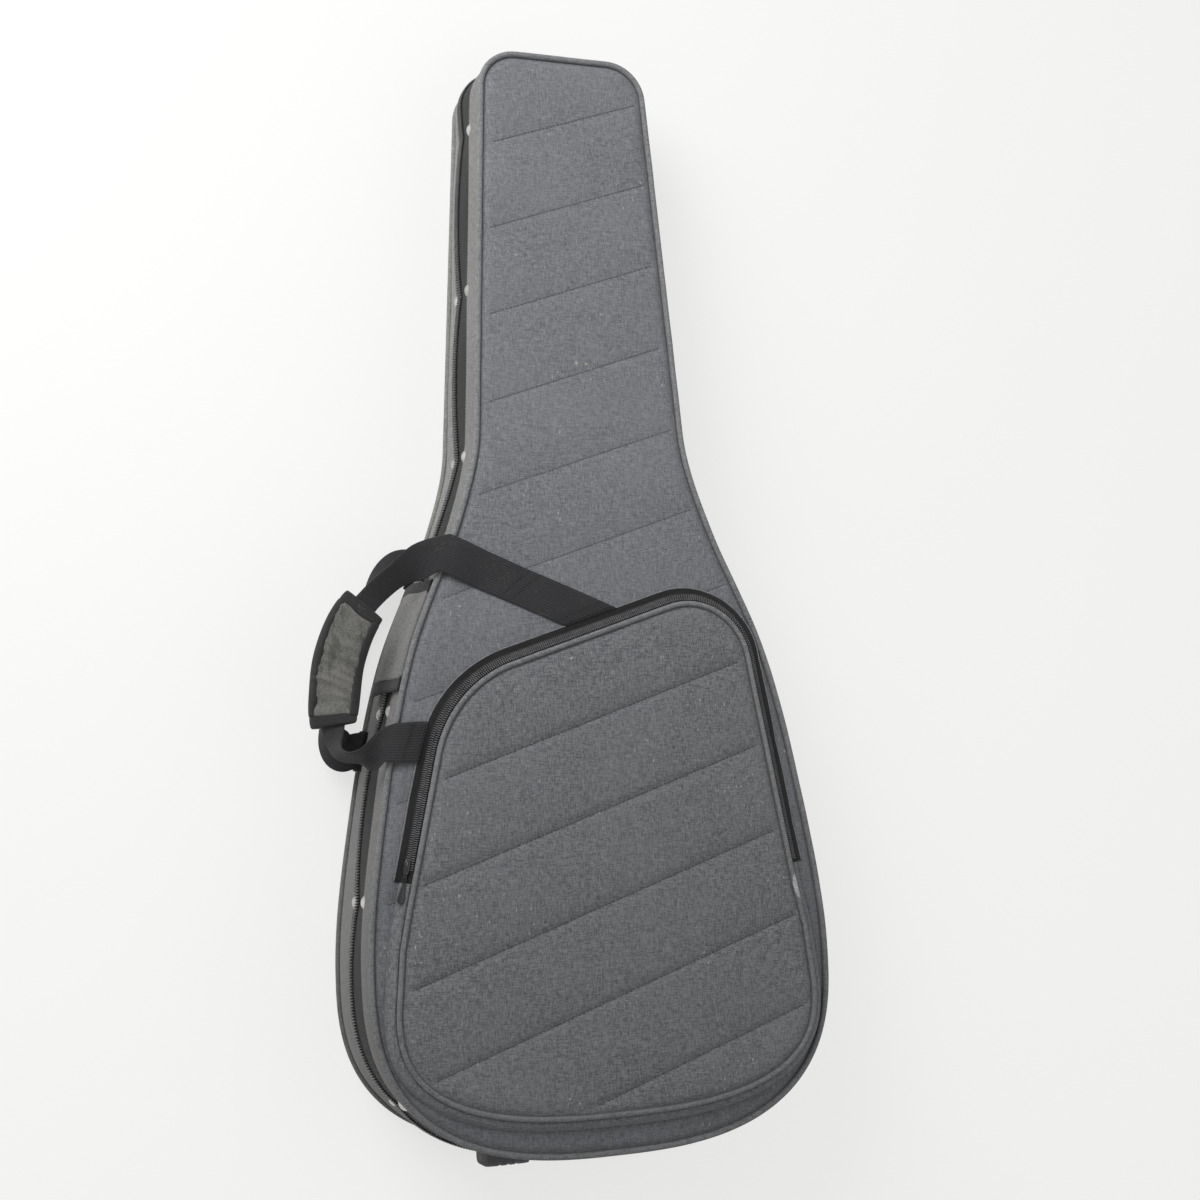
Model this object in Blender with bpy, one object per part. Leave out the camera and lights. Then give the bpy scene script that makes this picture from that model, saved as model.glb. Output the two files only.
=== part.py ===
"""Semi-rigid padded guitar case: a foam tray and a foam lid under quilted cloth, zipped round
three sides, with a zipped front pocket, a double webbing handle and a zip guard flap.

The case is modelled in its own case frame (metres): X across, Y along the length with the head
end at +Y, Z out of the lid, and Z = 0 on the parting plane between base and lid.  One empty lays
the finished case on its back, so that the back panel is flat on Z = 0 of the world.
"""
import math

import bmesh
import bpy
from mathutils import Matrix, Vector

# Outline of the case, heights measured from the tail end
LENGTH = 1.078
BOUT_HALF_WIDTH = 0.2275
BOUT_HEIGHT = 0.175
FLANK_HALF_WIDTH = 0.2100
FLANK_HEIGHT = 0.330
SHOULDER_HALF_WIDTH = 0.1795
SHOULDER_HEIGHT = 0.470
THROAT_HALF_WIDTH = 0.1270
THROAT_HEIGHT = 0.600
NECK_HALF_WIDTH = 0.1050
NECK_HEIGHT = 0.690
HEAD_HALF_WIDTH = 0.0850
HEAD_CORNER_RADIUS = 0.036
TAIL_ROUNDNESS = 2.7

# Depths from the parting plane
LID_DEPTH = 0.067
BASE_DEPTH_TAIL = 0.086
BASE_DEPTH_HEAD = 0.029

# Layers
CLEARANCE = 0.0003
PANEL_THICKNESS = 0.004
BAND_THICKNESS = 0.002
FOAM_WALL = 0.018
FOAM_FLOOR = 0.010
LINING_THICKNESS = 0.0015
PIPING_RADIUS = 0.0028
PIPING_SET_OUT = 0.0019
BACK_PIPING_SET_OUT = 0.0029
PIPING_DROP = 0.001
BACK_PIPING_LIFT = 0.0005

# Main zip and the cloth hinge on the right flank
LID_TAPE_WIDTH = 0.023
BASE_TAPE_WIDTH = 0.008
TAPE_THICKNESS = 0.0009
COIL_SIZE = 0.0022
HINGE_LOW = 0.085
HINGE_HIGH = 0.335
HINGE_SET_OUT = 0.004

# Rivets that tack the side bands
RIVETS_FROM_TAIL = (0.056, 0.242, 0.420, 0.671)
RIVETS_FROM_HEAD = (0.236, 0.066)
RIVET_RADIUS = 0.0062
RIVET_DOME = 0.0026
RIVET_INSET = 0.0035

# Front pocket
POCKET_RISE = 0.013
POCKET_BOTTOM = 0.036
POCKET_HALF_WIDTH = 0.2065
POCKET_WIDEST = 0.140
POCKET_SIDE_HALF_WIDTH = 0.1930
POCKET_SIDE_HEIGHT = 0.235
POCKET_LEFT_CORNER = (-0.1456, 0.436)
POCKET_RIGHT_CORNER = (0.1470, 0.5335)
POCKET_LEFT_RADIUS = 0.115
POCKET_RIGHT_RADIUS = 0.060
POCKET_EASE = 0.6
POCKET_PIPING_RADIUS = 0.0025
POCKET_PIPING_SET_OUT = 0.0018
FOLD_HEIGHT = 0.256
GUSSET_INNER = 0.0043
GUSSET_OUTER = 0.0135
GUSSET_THICKNESS = 0.0012
GUSSET_DROP = 0.0036
POCKET_COIL_SIZE = 0.0016
POCKET_ZIP_LINE = 0.0080
INNER_ZIP_START = 0.020
SLIDER_LENGTH = 0.014
SLIDER_WIDTH = 0.006
SLIDER_HEIGHT = 0.0028
SLIDER_ABOVE_FOLD = 0.014
PULL_LENGTH = 0.026
PULL_PLAY = 0.00095
PULL_WIDTH = 0.0056
PULL_THICKNESS = 0.0016

# Webbing handles and grip wrap
WEBBING_WIDTH = 0.038
WEBBING_THICKNESS = 0.0018
GRIP_LENGTH = 0.120
GRIP_START = 0.092
GRIP_WALL = 0.0035
GRIP_BINDING = 0.011
GRIP_PLAY = 0.0009
GRIP_SEAM = (0.25, 0.35)
UPPER_STRAP_HEIGHT = 0.564
LOWER_STRAP_HEIGHT = 0.386
STRAP_PLAY = 0.001
ANCHOR_SET_IN = 0.0065
ANCHOR_STEP = 0.0025
REAR_ANCHOR_HEIGHT = 0.026
REAR_ANCHOR_DEPTH = 0.012
REAR_ANCHOR_FOLD = 0.009
REAR_LOOP_DROP = 0.033

# Ways of the two loops beside the left edge: height, distance out of the edge and depth,
# and the roll of the front strap in degrees at even steps
FRONT_ROUTE = ((0.556, 0.030, 0.0665), (0.536, 0.051, 0.058), (0.506, 0.064, 0.053),
               (0.470, 0.066, 0.050), (0.435, 0.062, 0.049), (0.405, 0.057, 0.050),
               (0.381, 0.048, 0.055), (0.376, 0.027, 0.066))
FRONT_ROLLS = (0, 3, 12, 12, 12, 12, 12, 12, 26, 4, 0)
REAR_ROUTE = ((0.566, 0.032), (0.528, 0.050), (0.475, 0.056), (0.425, 0.050), (0.389, 0.032))

# Guard flap over the parked main sliders
GUARD_LOW = 0.436
GUARD_HIGH = 0.540
GUARD_BINDING = 0.013
GUARD_THICKNESS = 0.003
GUARD_STAND_OFF = 0.0088
GUARD_DROP = 0.018
GUARD_SEAT = 0.0006
GUARD_HEAD_ROOM = 0.0015
GUARD_BEND_HIGH = 0.037
GUARD_BEND_LOW = 0.017
GUARD_BEND_RISE = (0.004, 0.002)
GUARD_AXIS_SET_OUT = 0.004
MAIN_SLIDER_LENGTH = 0.016
MAIN_SLIDER_WIDTH = 0.011
MAIN_SLIDER_HEIGHT = 0.0038
MAIN_SLIDER_SPACING = 0.027
MAIN_PULL_LENGTH = 0.026
MAIN_PULL_WIDTH = 0.006
MAIN_SLIDER_PLAY = 0.0006

# Feet and inside fittings
FOOT_WIDTH = 0.042
FOOT_SPACING = 0.160
FOOT_REACH = 0.012
FOOT_HEIGHT = 0.046
FOOT_LIFT = 0.018
FOOT_CHAMFER = 0.004
CRADLE_HEIGHT_ON_CASE = 0.830
CRADLE_LENGTH = 0.070
CRADLE_HEIGHT = 0.022
NECK_SLOT_WIDTH = 0.062
NECK_SLOT_DEPTH = 0.010
NECK_SLOT_TAPER = 0.8
NECK_STRAP_WIDTH = 0.025
NECK_STRAP_INSET = 0.012

# Colours, roughness and metallic value
GREY_CLOTH = ((0.155, 0.162, 0.172), 0.92, 0.0)
GREY_BAND = ((0.180, 0.179, 0.176), 0.92, 0.0)
GREY_PIPING = ((0.120, 0.124, 0.130), 0.90, 0.0)
BLACK_TAPE = ((0.016, 0.016, 0.017), 0.85, 0.0)
BLACK_WEBBING = ((0.013, 0.013, 0.014), 0.80, 0.0)
BLACK_COIL = ((0.010, 0.010, 0.011), 0.45, 0.0)
BLACK_ENAMEL = ((0.012, 0.012, 0.013), 0.25, 1.0)
WORN_GRIP = ((0.150, 0.147, 0.140), 0.95, 0.0)
STEEL = ((0.62, 0.62, 0.60), 0.28, 1.0)
FOAM = ((0.055, 0.055, 0.058), 0.95, 0.0)
PLUSH = ((0.045, 0.046, 0.050), 1.0, 0.0)
RUBBER = ((0.048, 0.048, 0.052), 0.80, 0.0)

# Fineness of the curves
TAIL_STEPS = 9
SIDE_STEPS = 15
CORNER_STEPS = 5
TUBE_SIDES = 6
RIVET_SIDES = 10
RIVET_RINGS = 4
FOOT_STEPS = 4
FRONT_STEPS = 30
REAR_STEPS = 22
END_STEPS = 4
ROUTE_STEPS = 20
SHORT_STEP = 0.001
BEVEL_SHARE = 0.2
SMOOTH_ANGLE = 40


for old in list(bpy.data.objects):
    bpy.data.objects.remove(old)


# Frames and bodies

def back_z(y):
    """Height of the flat back under a point at this place along the case."""
    share = y / LENGTH + 0.5
    return -(BASE_DEPTH_TAIL + (BASE_DEPTH_HEAD - BASE_DEPTH_TAIL) * share)


def along_case(height):
    """Y of a height measured from the tail end."""
    return height - LENGTH / 2


def empty(name, place, parent=None):
    thing = bpy.data.objects.new(name, None)
    bpy.context.scene.collection.objects.link(thing)
    thing.location = place
    thing.parent = parent
    return thing


TILT = math.atan2(BASE_DEPTH_TAIL - BASE_DEPTH_HEAD, LENGTH)
LYING = Matrix.Rotation(-TILT, 4, "X") @ Matrix.Translation((0, 0, -back_z(0)))
case_frame = empty("case_frame", LYING.translation)
case_frame.rotation_euler = LYING.to_euler()
bodies = {"base": (case_frame, Vector((0, 0, 0)))}


def body(name, parent, place):
    """An empty on a joint axis, given in the case frame, that carries a moving body."""
    carrier, carrier_place = bodies[parent]
    place = Vector(place)
    bodies[name] = (empty(name + "_pivot", place - carrier_place, carrier), place)


def finish_material(name, look):
    colour, roughness, metallic = look
    material = bpy.data.materials.new(name + "_finish")
    material.use_nodes = True
    shader = material.node_tree.nodes["Principled BSDF"]
    shader.inputs["Base Color"].default_value = (*colour, 1.0)
    shader.inputs["Roughness"].default_value = roughness
    shader.inputs["Metallic"].default_value = metallic
    return material


def add(name, shape, look, rides_on):
    """Turn a bmesh in case-frame coordinates into a named object on its body."""
    carrier, place = bodies[rides_on]
    bmesh.ops.recalc_face_normals(shape, faces=shape.faces)
    bmesh.ops.translate(shape, verts=shape.verts, vec=-place)
    mesh = bpy.data.meshes.new(name)
    shape.to_mesh(mesh)
    shape.free()
    mesh.shade_smooth()
    mesh.set_sharp_from_angle(angle=math.radians(SMOOTH_ANGLE))
    mesh.materials.append(finish_material(name, look))
    thing = bpy.data.objects.new(name, mesh)
    bpy.context.scene.collection.objects.link(thing)
    thing.parent = carrier
    return thing


# Outlines

def hermite(points, slopes, steps):
    """Half widths at even heights on a smooth curve through (height, half width) points."""
    out = []
    low, high = points[0][0], points[-1][0]
    for k in range(1, steps + 1):
        h = low + (high - low) * k / steps
        i = max(j for j in range(len(points) - 1) if points[j][0] <= h + 1e-9)
        (h0, w0), (h1, w1) = points[i], points[i + 1]
        span = h1 - h0
        t = (h - h0) / span
        w = (w0 * (2 * t**3 - 3 * t**2 + 1) + slopes[i] * span * (t**3 - 2 * t**2 + t)
             + w1 * (3 * t**2 - 2 * t**3) + slopes[i + 1] * span * (t**3 - t**2))
        out.append((w, h))
    return out


def round_end(half_width, low, high, steps):
    """Quarter of a rounded tail, from the middle of the tail to its widest point."""
    out = []
    for k in range(steps + 1):
        a = math.pi / 2 * k / steps
        x = half_width * math.sin(a) ** (2 / TAIL_ROUNDNESS)
        out.append((x, high - (high - low) * math.cos(a) ** (2 / TAIL_ROUNDNESS)))
    return out


def fillet(before, corner, after, radius, steps):
    """Points of an arc that rounds the corner of two straight runs."""
    before, corner, after = Vector(before), Vector(corner), Vector(after)
    into, out_of = (corner - before).normalized(), (after - corner).normalized()
    turn = into.angle(out_of)
    reach = radius * math.tan(turn / 2)
    start = corner - into * reach
    side = Vector((-into.y, into.x))
    if side.dot(out_of) < 0:
        side = -side
    centre = start + side * radius
    arm = start - centre
    sign = 1 if into.x * out_of.y - into.y * out_of.x > 0 else -1
    points = []
    for k in range(steps + 1):
        a = sign * turn * k / steps
        points.append((centre.x + arm.x * math.cos(a) - arm.y * math.sin(a),
                       centre.y + arm.x * math.sin(a) + arm.y * math.cos(a)))
    return points


def closed_loop(right_half):
    """Mirror a half outline, drop doubled points and move the heights into the case frame."""
    left_half = [(-x, h) for x, h in reversed(right_half) if x > 1e-9]
    loop = right_half + left_half
    return [Vector((x, along_case(h))) for x, h in loop]


def with_normals(loop):
    """Each point of a loop that runs anticlockwise, with its outward normal."""
    out = []
    for i, p in enumerate(loop):
        run = (loop[(i + 1) % len(loop)] - loop[i - 1]).normalized()
        out.append((p, Vector((run.y, -run.x))))
    return out


def case_outline():
    stations = [(BOUT_HEIGHT, BOUT_HALF_WIDTH), (FLANK_HEIGHT, FLANK_HALF_WIDTH),
                (SHOULDER_HEIGHT, SHOULDER_HALF_WIDTH), (THROAT_HEIGHT, THROAT_HALF_WIDTH),
                (NECK_HEIGHT, NECK_HALF_WIDTH),
                (LENGTH - HEAD_CORNER_RADIUS, HEAD_HALF_WIDTH)]
    slopes = [0.0]
    for a, b in zip(stations[:-2], stations[2:]):
        slopes.append((b[1] - a[1]) / (b[0] - a[0]))
    slopes[-1] = (stations[-1][1] - stations[-2][1]) / (stations[-1][0] - stations[-2][0])
    slopes.append(slopes[-1])
    half = round_end(BOUT_HALF_WIDTH, 0.0, BOUT_HEIGHT, TAIL_STEPS)
    half += hermite(stations, slopes, SIDE_STEPS)
    for k in range(1, CORNER_STEPS + 1):
        a = math.pi / 2 * k / CORNER_STEPS
        half.append((HEAD_HALF_WIDTH - HEAD_CORNER_RADIUS * (1 - math.cos(a)),
                     LENGTH - HEAD_CORNER_RADIUS * (1 - math.sin(a))))
    half.append((0.0, LENGTH))
    return with_normals(closed_loop(half))


def pocket_outline():
    """Loop of the pocket's panel: round tail, leaning sides and a top edge that rises to the right."""
    tail = round_end(POCKET_HALF_WIDTH, POCKET_BOTTOM, POCKET_WIDEST, TAIL_STEPS)
    left, right = POCKET_LEFT_CORNER, POCKET_RIGHT_CORNER
    right_foot = (POCKET_SIDE_HALF_WIDTH, POCKET_SIDE_HEIGHT)
    left_foot = (-POCKET_SIDE_HALF_WIDTH, POCKET_SIDE_HEIGHT)
    ease = (POCKET_SIDE_HALF_WIDTH + (POCKET_HALF_WIDTH - POCKET_SIDE_HALF_WIDTH) * POCKET_EASE,
            POCKET_WIDEST + (POCKET_SIDE_HEIGHT - POCKET_WIDEST) * POCKET_EASE)
    loop = tail + [ease, right_foot]
    loop += fillet(right_foot, right, left, POCKET_RIGHT_RADIUS, CORNER_STEPS)
    loop += fillet(right, left, left_foot, POCKET_LEFT_RADIUS, CORNER_STEPS)
    loop += [left_foot, (-ease[0], ease[1])]
    loop += [(-x, h) for x, h in reversed(tail) if x > 1e-9]
    return with_normals([Vector((x, along_case(h))) for x, h in loop])


def cut_at(path, y, keep_above):
    """The unbroken stretch of a closed path above or below a line across the case."""
    def kept(p):
        return (p.y > y) == keep_above
    count = len(path)
    start = next(i for i in range(count) if kept(path[i][0]) and not kept(path[i - 1][0]))
    out = [between(path[start - 1], path[start], y)]
    i = start
    while kept(path[i % count][0]):
        out.append(path[i % count])
        i += 1
    out.append(between(path[(i - 1) % count], path[i % count], y))
    return out


def between(a, b, y):
    """The point and normal where the run from a to b crosses y."""
    share = (y - a[0].y) / (b[0].y - a[0].y)
    return a[0].lerp(b[0], share), a[1].lerp(b[1], share).normalized()


def stretch(path, low, high, side):
    """The part of the case outline between two heights on the left or right side."""
    y_low, y_high = along_case(low), along_case(high)
    points = [s for s in path if s[0].x * side > 0]
    points.sort(key=lambda s: s[0].y)
    first = next(i for i in range(len(points)) if points[i][0].y > y_low)
    last = next(i for i in range(len(points)) if points[i][0].y >= y_high)
    return ([between(points[first - 1], points[first], y_low)] + points[first:last]
            + [between(points[last - 1], points[last], y_high)])


def spot(height, side):
    """Point, outward normal and head-ward direction of the case outline at a height."""
    p, n = stretch(CASE, height, height + SHORT_STEP, side)[0]
    run = Vector((-n.y, n.x))
    if run.y < 0:
        run = -run
    return p, n, run


# Solids

def skin(stations, closed):
    """Join profile polygons into one solid; an open run gets a cap at each end."""
    shape = bmesh.new()
    rings = [[shape.verts.new(p) for p in station] for station in stations]
    count = len(rings)
    for i in range(count if closed else count - 1):
        a, b = rings[i], rings[(i + 1) % count]
        for j in range(len(a)):
            k = (j + 1) % len(a)
            shape.faces.new((a[j], a[k], b[k], b[j]))
    if not closed:
        shape.faces.new(rings[0])
        shape.faces.new(list(reversed(rings[-1])))
    return shape


def follow(path, profile, closed=True, lift=None):
    """Carry a profile of (set out, z) points along an outline; lift adds a height along Y."""
    stations = []
    for p, n in path:
        station = []
        for out, z in profile:
            q = p + n * out
            station.append((q.x, q.y, z + (lift(q.y) if lift else 0.0)))
        stations.append(station)
    return skin(stations, closed)


def box_profile(out_low, out_high, z_low, z_high):
    return [(out_low, z_low), (out_high, z_low), (out_high, z_high), (out_low, z_high)]


def round_profile(out, z, radius):
    return [(out + radius * math.cos(2 * math.pi * k / TUBE_SIDES),
             z + radius * math.sin(2 * math.pi * k / TUBE_SIDES)) for k in range(TUBE_SIDES)]


def ring_of(shape, path, out, z):
    return [shape.verts.new((p.x + n.x * out, p.y + n.y * out, z(p.y + n.y * out)))
            for p, n in path]


def level(z):
    return lambda y: z


def above_back(z):
    return lambda y: back_z(y) + z


def bridge(shape, a, b):
    for i in range(len(a)):
        k = (i + 1) % len(a)
        shape.faces.new((a[i], a[k], b[k], b[i]))


def slab(path, out, z_low, z_high):
    shape = bmesh.new()
    low, high = ring_of(shape, path, out, z_low), ring_of(shape, path, out, z_high)
    bridge(shape, low, high)
    shape.faces.new(low)
    shape.faces.new(high)
    return shape


def tray(path, out, wall, rim, floor_outside, floor_inside):
    """An open shell: walls from the rim to a floor."""
    shape = bmesh.new()
    outer_rim, outer_floor = ring_of(shape, path, out, rim), ring_of(shape, path, out, floor_outside)
    inner_rim = ring_of(shape, path, out - wall, rim)
    inner_floor = ring_of(shape, path, out - wall, floor_inside)
    bridge(shape, outer_rim, outer_floor)
    bridge(shape, outer_rim, inner_rim)
    bridge(shape, inner_rim, inner_floor)
    shape.faces.new(outer_floor)
    shape.faces.new(inner_floor)
    return shape


def block(size, centre, turn):
    """A bevelled block, turned by a matrix of its own axes."""
    shape = bmesh.new()
    bmesh.ops.create_cube(shape, size=1.0)
    bmesh.ops.scale(shape, verts=shape.verts, vec=size)
    bmesh.ops.bevel(shape, geom=list(shape.edges), offset=min(size) * BEVEL_SHARE, segments=1,
                    affect="EDGES")
    bmesh.ops.transform(shape, verts=shape.verts, matrix=Matrix.Translation(centre) @ turn)
    return shape


def axes(run, up):
    """Turn with X across, Y along the run and Z up."""
    run, up = Vector(run).normalized(), Vector(up).normalized()
    across = run.cross(up)
    return Matrix((across, run, up)).transposed().to_4x4()


def ribbon(stations, profile):
    """Carry a (width, thickness) profile along stations of point, width and face directions."""
    return skin([[p + w * a + n * b for a, b in profile] for p, w, n in stations], False)


def strap_profile(width, thickness):
    return [(-width / 2, 0.0), (width / 2, 0.0), (width / 2, thickness), (-width / 2, thickness)]


def smooth_route(points, steps):
    """Even steps along a smooth curve through the points of a route."""
    points = [Vector(p) for p in points]
    dense = []
    for i in range(len(points) - 1):
        p0 = points[i - 1] if i else points[0] * 2 - points[1]
        p1, p2 = points[i], points[i + 1]
        p3 = points[i + 2] if i + 2 < len(points) else points[-1] * 2 - points[-2]
        for k in range(ROUTE_STEPS):
            t = k / ROUTE_STEPS
            dense.append(0.5 * ((2 * p1) + (p2 - p0) * t + (2 * p0 - 5 * p1 + 4 * p2 - p3) * t**2
                                + (3 * p1 - p0 - 3 * p2 + p3) * t**3))
    dense.append(points[-1])
    marks = [0.0]
    for a, b in zip(dense, dense[1:]):
        marks.append(marks[-1] + (b - a).length)
    out = []
    for k in range(steps + 1):
        want = marks[-1] * k / steps
        i = max(0, next(j for j in range(len(marks)) if marks[j] >= want - 1e-9) - 1)
        span = marks[i + 1] - marks[i]
        out.append(dense[i].lerp(dense[i + 1], (want - marks[i]) / span))
    return out, marks[-1]


def strap_stations(route, steps, up, rolls, end_width):
    """Stations of a strap: width across the run, rolled about it, and along end_width at its ends."""
    points, length = smooth_route(route, steps)
    out = []
    for k, p in enumerate(points):
        a, b = points[max(0, k - 1)], points[min(steps, k + 1)]
        run = (b - a).normalized()
        place = k / steps * (len(rolls) - 1)
        i = min(int(place), len(rolls) - 2)
        roll = math.radians(rolls[i] + (rolls[i + 1] - rolls[i]) * (place - i))
        w = run.cross(Vector(up)).normalized()
        w = Matrix.Rotation(roll, 3, run) @ w
        nearness = max(0.0, 1 - min(k, steps - k) / END_STEPS)
        w = w.lerp(end_width * (1 if w.dot(end_width) > 0 else -1), nearness).normalized()
        n = w.cross(run).normalized()
        out.append((p, w, n))
    return out, length


CASE = case_outline()
POCKET = pocket_outline()
LID_TOP = LID_DEPTH
POCKET_TOP = LID_DEPTH + POCKET_RISE
RIVET_HEIGHTS = RIVETS_FROM_TAIL + tuple(LENGTH - distance for distance in RIVETS_FROM_HEAD)


# Base

def build_base():
    rim = -CLEARANCE / 2
    foam_out = -CLEARANCE
    floor_low = PANEL_THICKNESS + CLEARANCE
    floor_high = floor_low + FOAM_FLOOR
    piping_z = PIPING_RADIUS + BACK_PIPING_LIFT
    add("base_back_panel", slab(CASE, BACK_PIPING_SET_OUT - PIPING_RADIUS - CLEARANCE,
                                above_back(0.0), above_back(PANEL_THICKNESS)), GREY_CLOTH, "base")
    add("base_piping", follow(CASE, round_profile(BACK_PIPING_SET_OUT, piping_z, PIPING_RADIUS),
                              lift=back_z), GREY_PIPING, "base")
    add("base_foam_shell", tray(CASE, foam_out, FOAM_WALL, level(rim), above_back(floor_low),
                                above_back(floor_high)), FOAM, "base")
    lining_out = foam_out - FOAM_WALL - CLEARANCE
    add("base_lining", tray(CASE, lining_out, LINING_THICKNESS, level(rim),
                            above_back(floor_high + CLEARANCE),
                            above_back(floor_high + CLEARANCE + LINING_THICKNESS)), PLUSH, "base")
    band_low = above_back(piping_z + PIPING_RADIUS + CLEARANCE)
    band_high = level(-BASE_TAPE_WIDTH - CLEARANCE)
    shape = bmesh.new()
    corners = ((0.0, band_low), (BAND_THICKNESS, band_low), (BAND_THICKNESS, band_high), (0.0, band_high))
    rings = [ring_of(shape, CASE, out, z) for out, z in corners]
    for a, b in zip(rings, rings[1:] + rings[:1]):
        bridge(shape, a, b)
    add("base_side_band", shape, GREY_BAND, "base")
    add_zip_half("base", -BASE_TAPE_WIDTH, rim, -COIL_SIZE - CLEARANCE / 2)
    return floor_high + 2 * CLEARANCE + LINING_THICKNESS


def add_zip_half(owner, z_low, z_high, coil_z):
    """Zip tape and coil round three sides, and the cloth hinge that closes the ring."""
    hinge = stretch(CASE, HINGE_LOW, HINGE_HIGH, 1)
    y_low, y_high = along_case(HINGE_LOW) - CLEARANCE, along_case(HINGE_HIGH) + CLEARANCE
    right = [s for s in CASE if s[0].x > 0]
    above = next(i for i in range(len(CASE)) if CASE[i][0].x > 0 and CASE[i][0].y > y_high)
    below = max(CASE.index(s) for s in right if s[0].y < y_low)
    zipped = ([between(CASE[above - 1], CASE[above], y_high)] + CASE[above:] + CASE[:below + 1]
              + [between(CASE[below], CASE[below + 1], y_low)])
    tape = box_profile(0.0, TAPE_THICKNESS, z_low, z_high)
    coil_out = TAPE_THICKNESS + CLEARANCE
    coil = box_profile(coil_out, coil_out + COIL_SIZE, coil_z, coil_z + COIL_SIZE)
    add(owner + "_zip_tape", follow(zipped, tape, closed=False), BLACK_TAPE, owner)
    add(owner + "_zip_coil", follow(zipped, coil, closed=False), BLACK_COIL, owner)
    add(owner + "_hinge_tape", follow(hinge, tape, closed=False), GREY_BAND, owner)


def add_rivets(owner, z, heights):
    """Domed caps on the side band, turned from rings that shrink towards the crown."""
    for number, height in enumerate(heights, 1):
        p, n, run = spot(height, -1)
        place = p + n * (BAND_THICKNESS + CLEARANCE)
        rings = []
        for k in range(RIVET_RINGS):
            climb = math.pi / 2 * k / RIVET_RINGS
            radius, rise = RIVET_RADIUS * math.cos(climb), RIVET_DOME * math.sin(climb)
            ring = []
            for j in range(RIVET_SIDES):
                a = 2 * math.pi * j / RIVET_SIDES
                side = place + n * rise + run * radius * math.cos(a)
                ring.append((side.x, side.y, z + radius * math.sin(a)))
            rings.append(ring)
        add(f"{owner}_rivet_{number}", skin(rings, False), STEEL, owner)


def build_feet():
    tail = [s for s in CASE if s[0].y < along_case(BOUT_HEIGHT)]
    tail.sort(key=lambda s: s[0].x)
    for name, middle in (("foot_left", -FOOT_SPACING / 2), ("foot_right", FOOT_SPACING / 2)):
        first = middle - FOOT_WIDTH / 2
        run = [at_x(tail, first + FOOT_WIDTH * k / FOOT_STEPS) for k in range(FOOT_STEPS + 1)]
        out = BACK_PIPING_SET_OUT + PIPING_RADIUS + CLEARANCE
        low, high = FOOT_LIFT, FOOT_LIFT + FOOT_HEIGHT
        profile = [(BAND_THICKNESS + CLEARANCE, low), (out + FOOT_REACH - FOOT_CHAMFER, low),
                   (out + FOOT_REACH, low + FOOT_CHAMFER), (out + FOOT_REACH, high - FOOT_CHAMFER),
                   (out + FOOT_REACH - FOOT_CHAMFER, high), (BAND_THICKNESS + CLEARANCE, high)]
        flat = along_case(0.0) - out - FOOT_REACH
        stations = []
        for p, n in run:
            station = [(p.x, p.y - o, z + back_z(p.y)) for o, z in profile]
            stations.append([(x, flat if i in (2, 3) else y, z)
                             for i, (x, y, z) in enumerate(station)])
        add(name, skin(stations, False), RUBBER, "base")


def at_x(points, x):
    """Point and normal of a run sorted across the case, at one place across."""
    i = next(j for j in range(1, len(points)) if points[j][0].x >= x)
    a, b = points[i - 1], points[i]
    share = (x - a[0].x) / (b[0].x - a[0].x)
    return a[0].lerp(b[0], share), a[1].lerp(b[1], share)


def build_neck_rest(floor):
    """Padded block with a slot for the instrument's neck, and the strap that ties the neck down."""
    y0, y1 = (along_case(CRADLE_HEIGHT_ON_CASE + s * CRADLE_LENGTH / 2) for s in (-1, 1))
    inset = FOAM_WALL + LINING_THICKNESS + 4 * CLEARANCE
    half = min(-p.x for p, n in stretch(CASE, CRADLE_HEIGHT_ON_CASE - CRADLE_LENGTH / 2,
                                        CRADLE_HEIGHT_ON_CASE + CRADLE_LENGTH / 2, -1)) - inset
    slot = NECK_SLOT_WIDTH / 2
    bed = slot * NECK_SLOT_TAPER
    stations = []
    for y in (y0, y1):
        low = back_z(y) + floor
        high = low + CRADLE_HEIGHT
        stations.append([(-half, y, low), (half, y, low), (half, y, high), (slot, y, high),
                         (bed, y, high - NECK_SLOT_DEPTH), (-bed, y, high - NECK_SLOT_DEPTH),
                         (-slot, y, high), (-half, y, high)])
    add("neck_cradle", skin(stations, False), FOAM, "base")
    middle = (y0 + y1) / 2
    stations = []
    for y in (middle - NECK_STRAP_WIDTH / 2, middle + NECK_STRAP_WIDTH / 2):
        seat = back_z(y) + floor + CRADLE_HEIGHT + CLEARANCE
        ends = half - NECK_STRAP_INSET
        stations.append([(-ends, y, seat), (ends, y, seat), (ends, y, seat + WEBBING_THICKNESS),
                         (0, y, seat + 4 * WEBBING_THICKNESS), (-ends, y, seat + WEBBING_THICKNESS)])
    add("neck_strap", skin(stations, False), BLACK_WEBBING, "base")


# Lid

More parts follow.
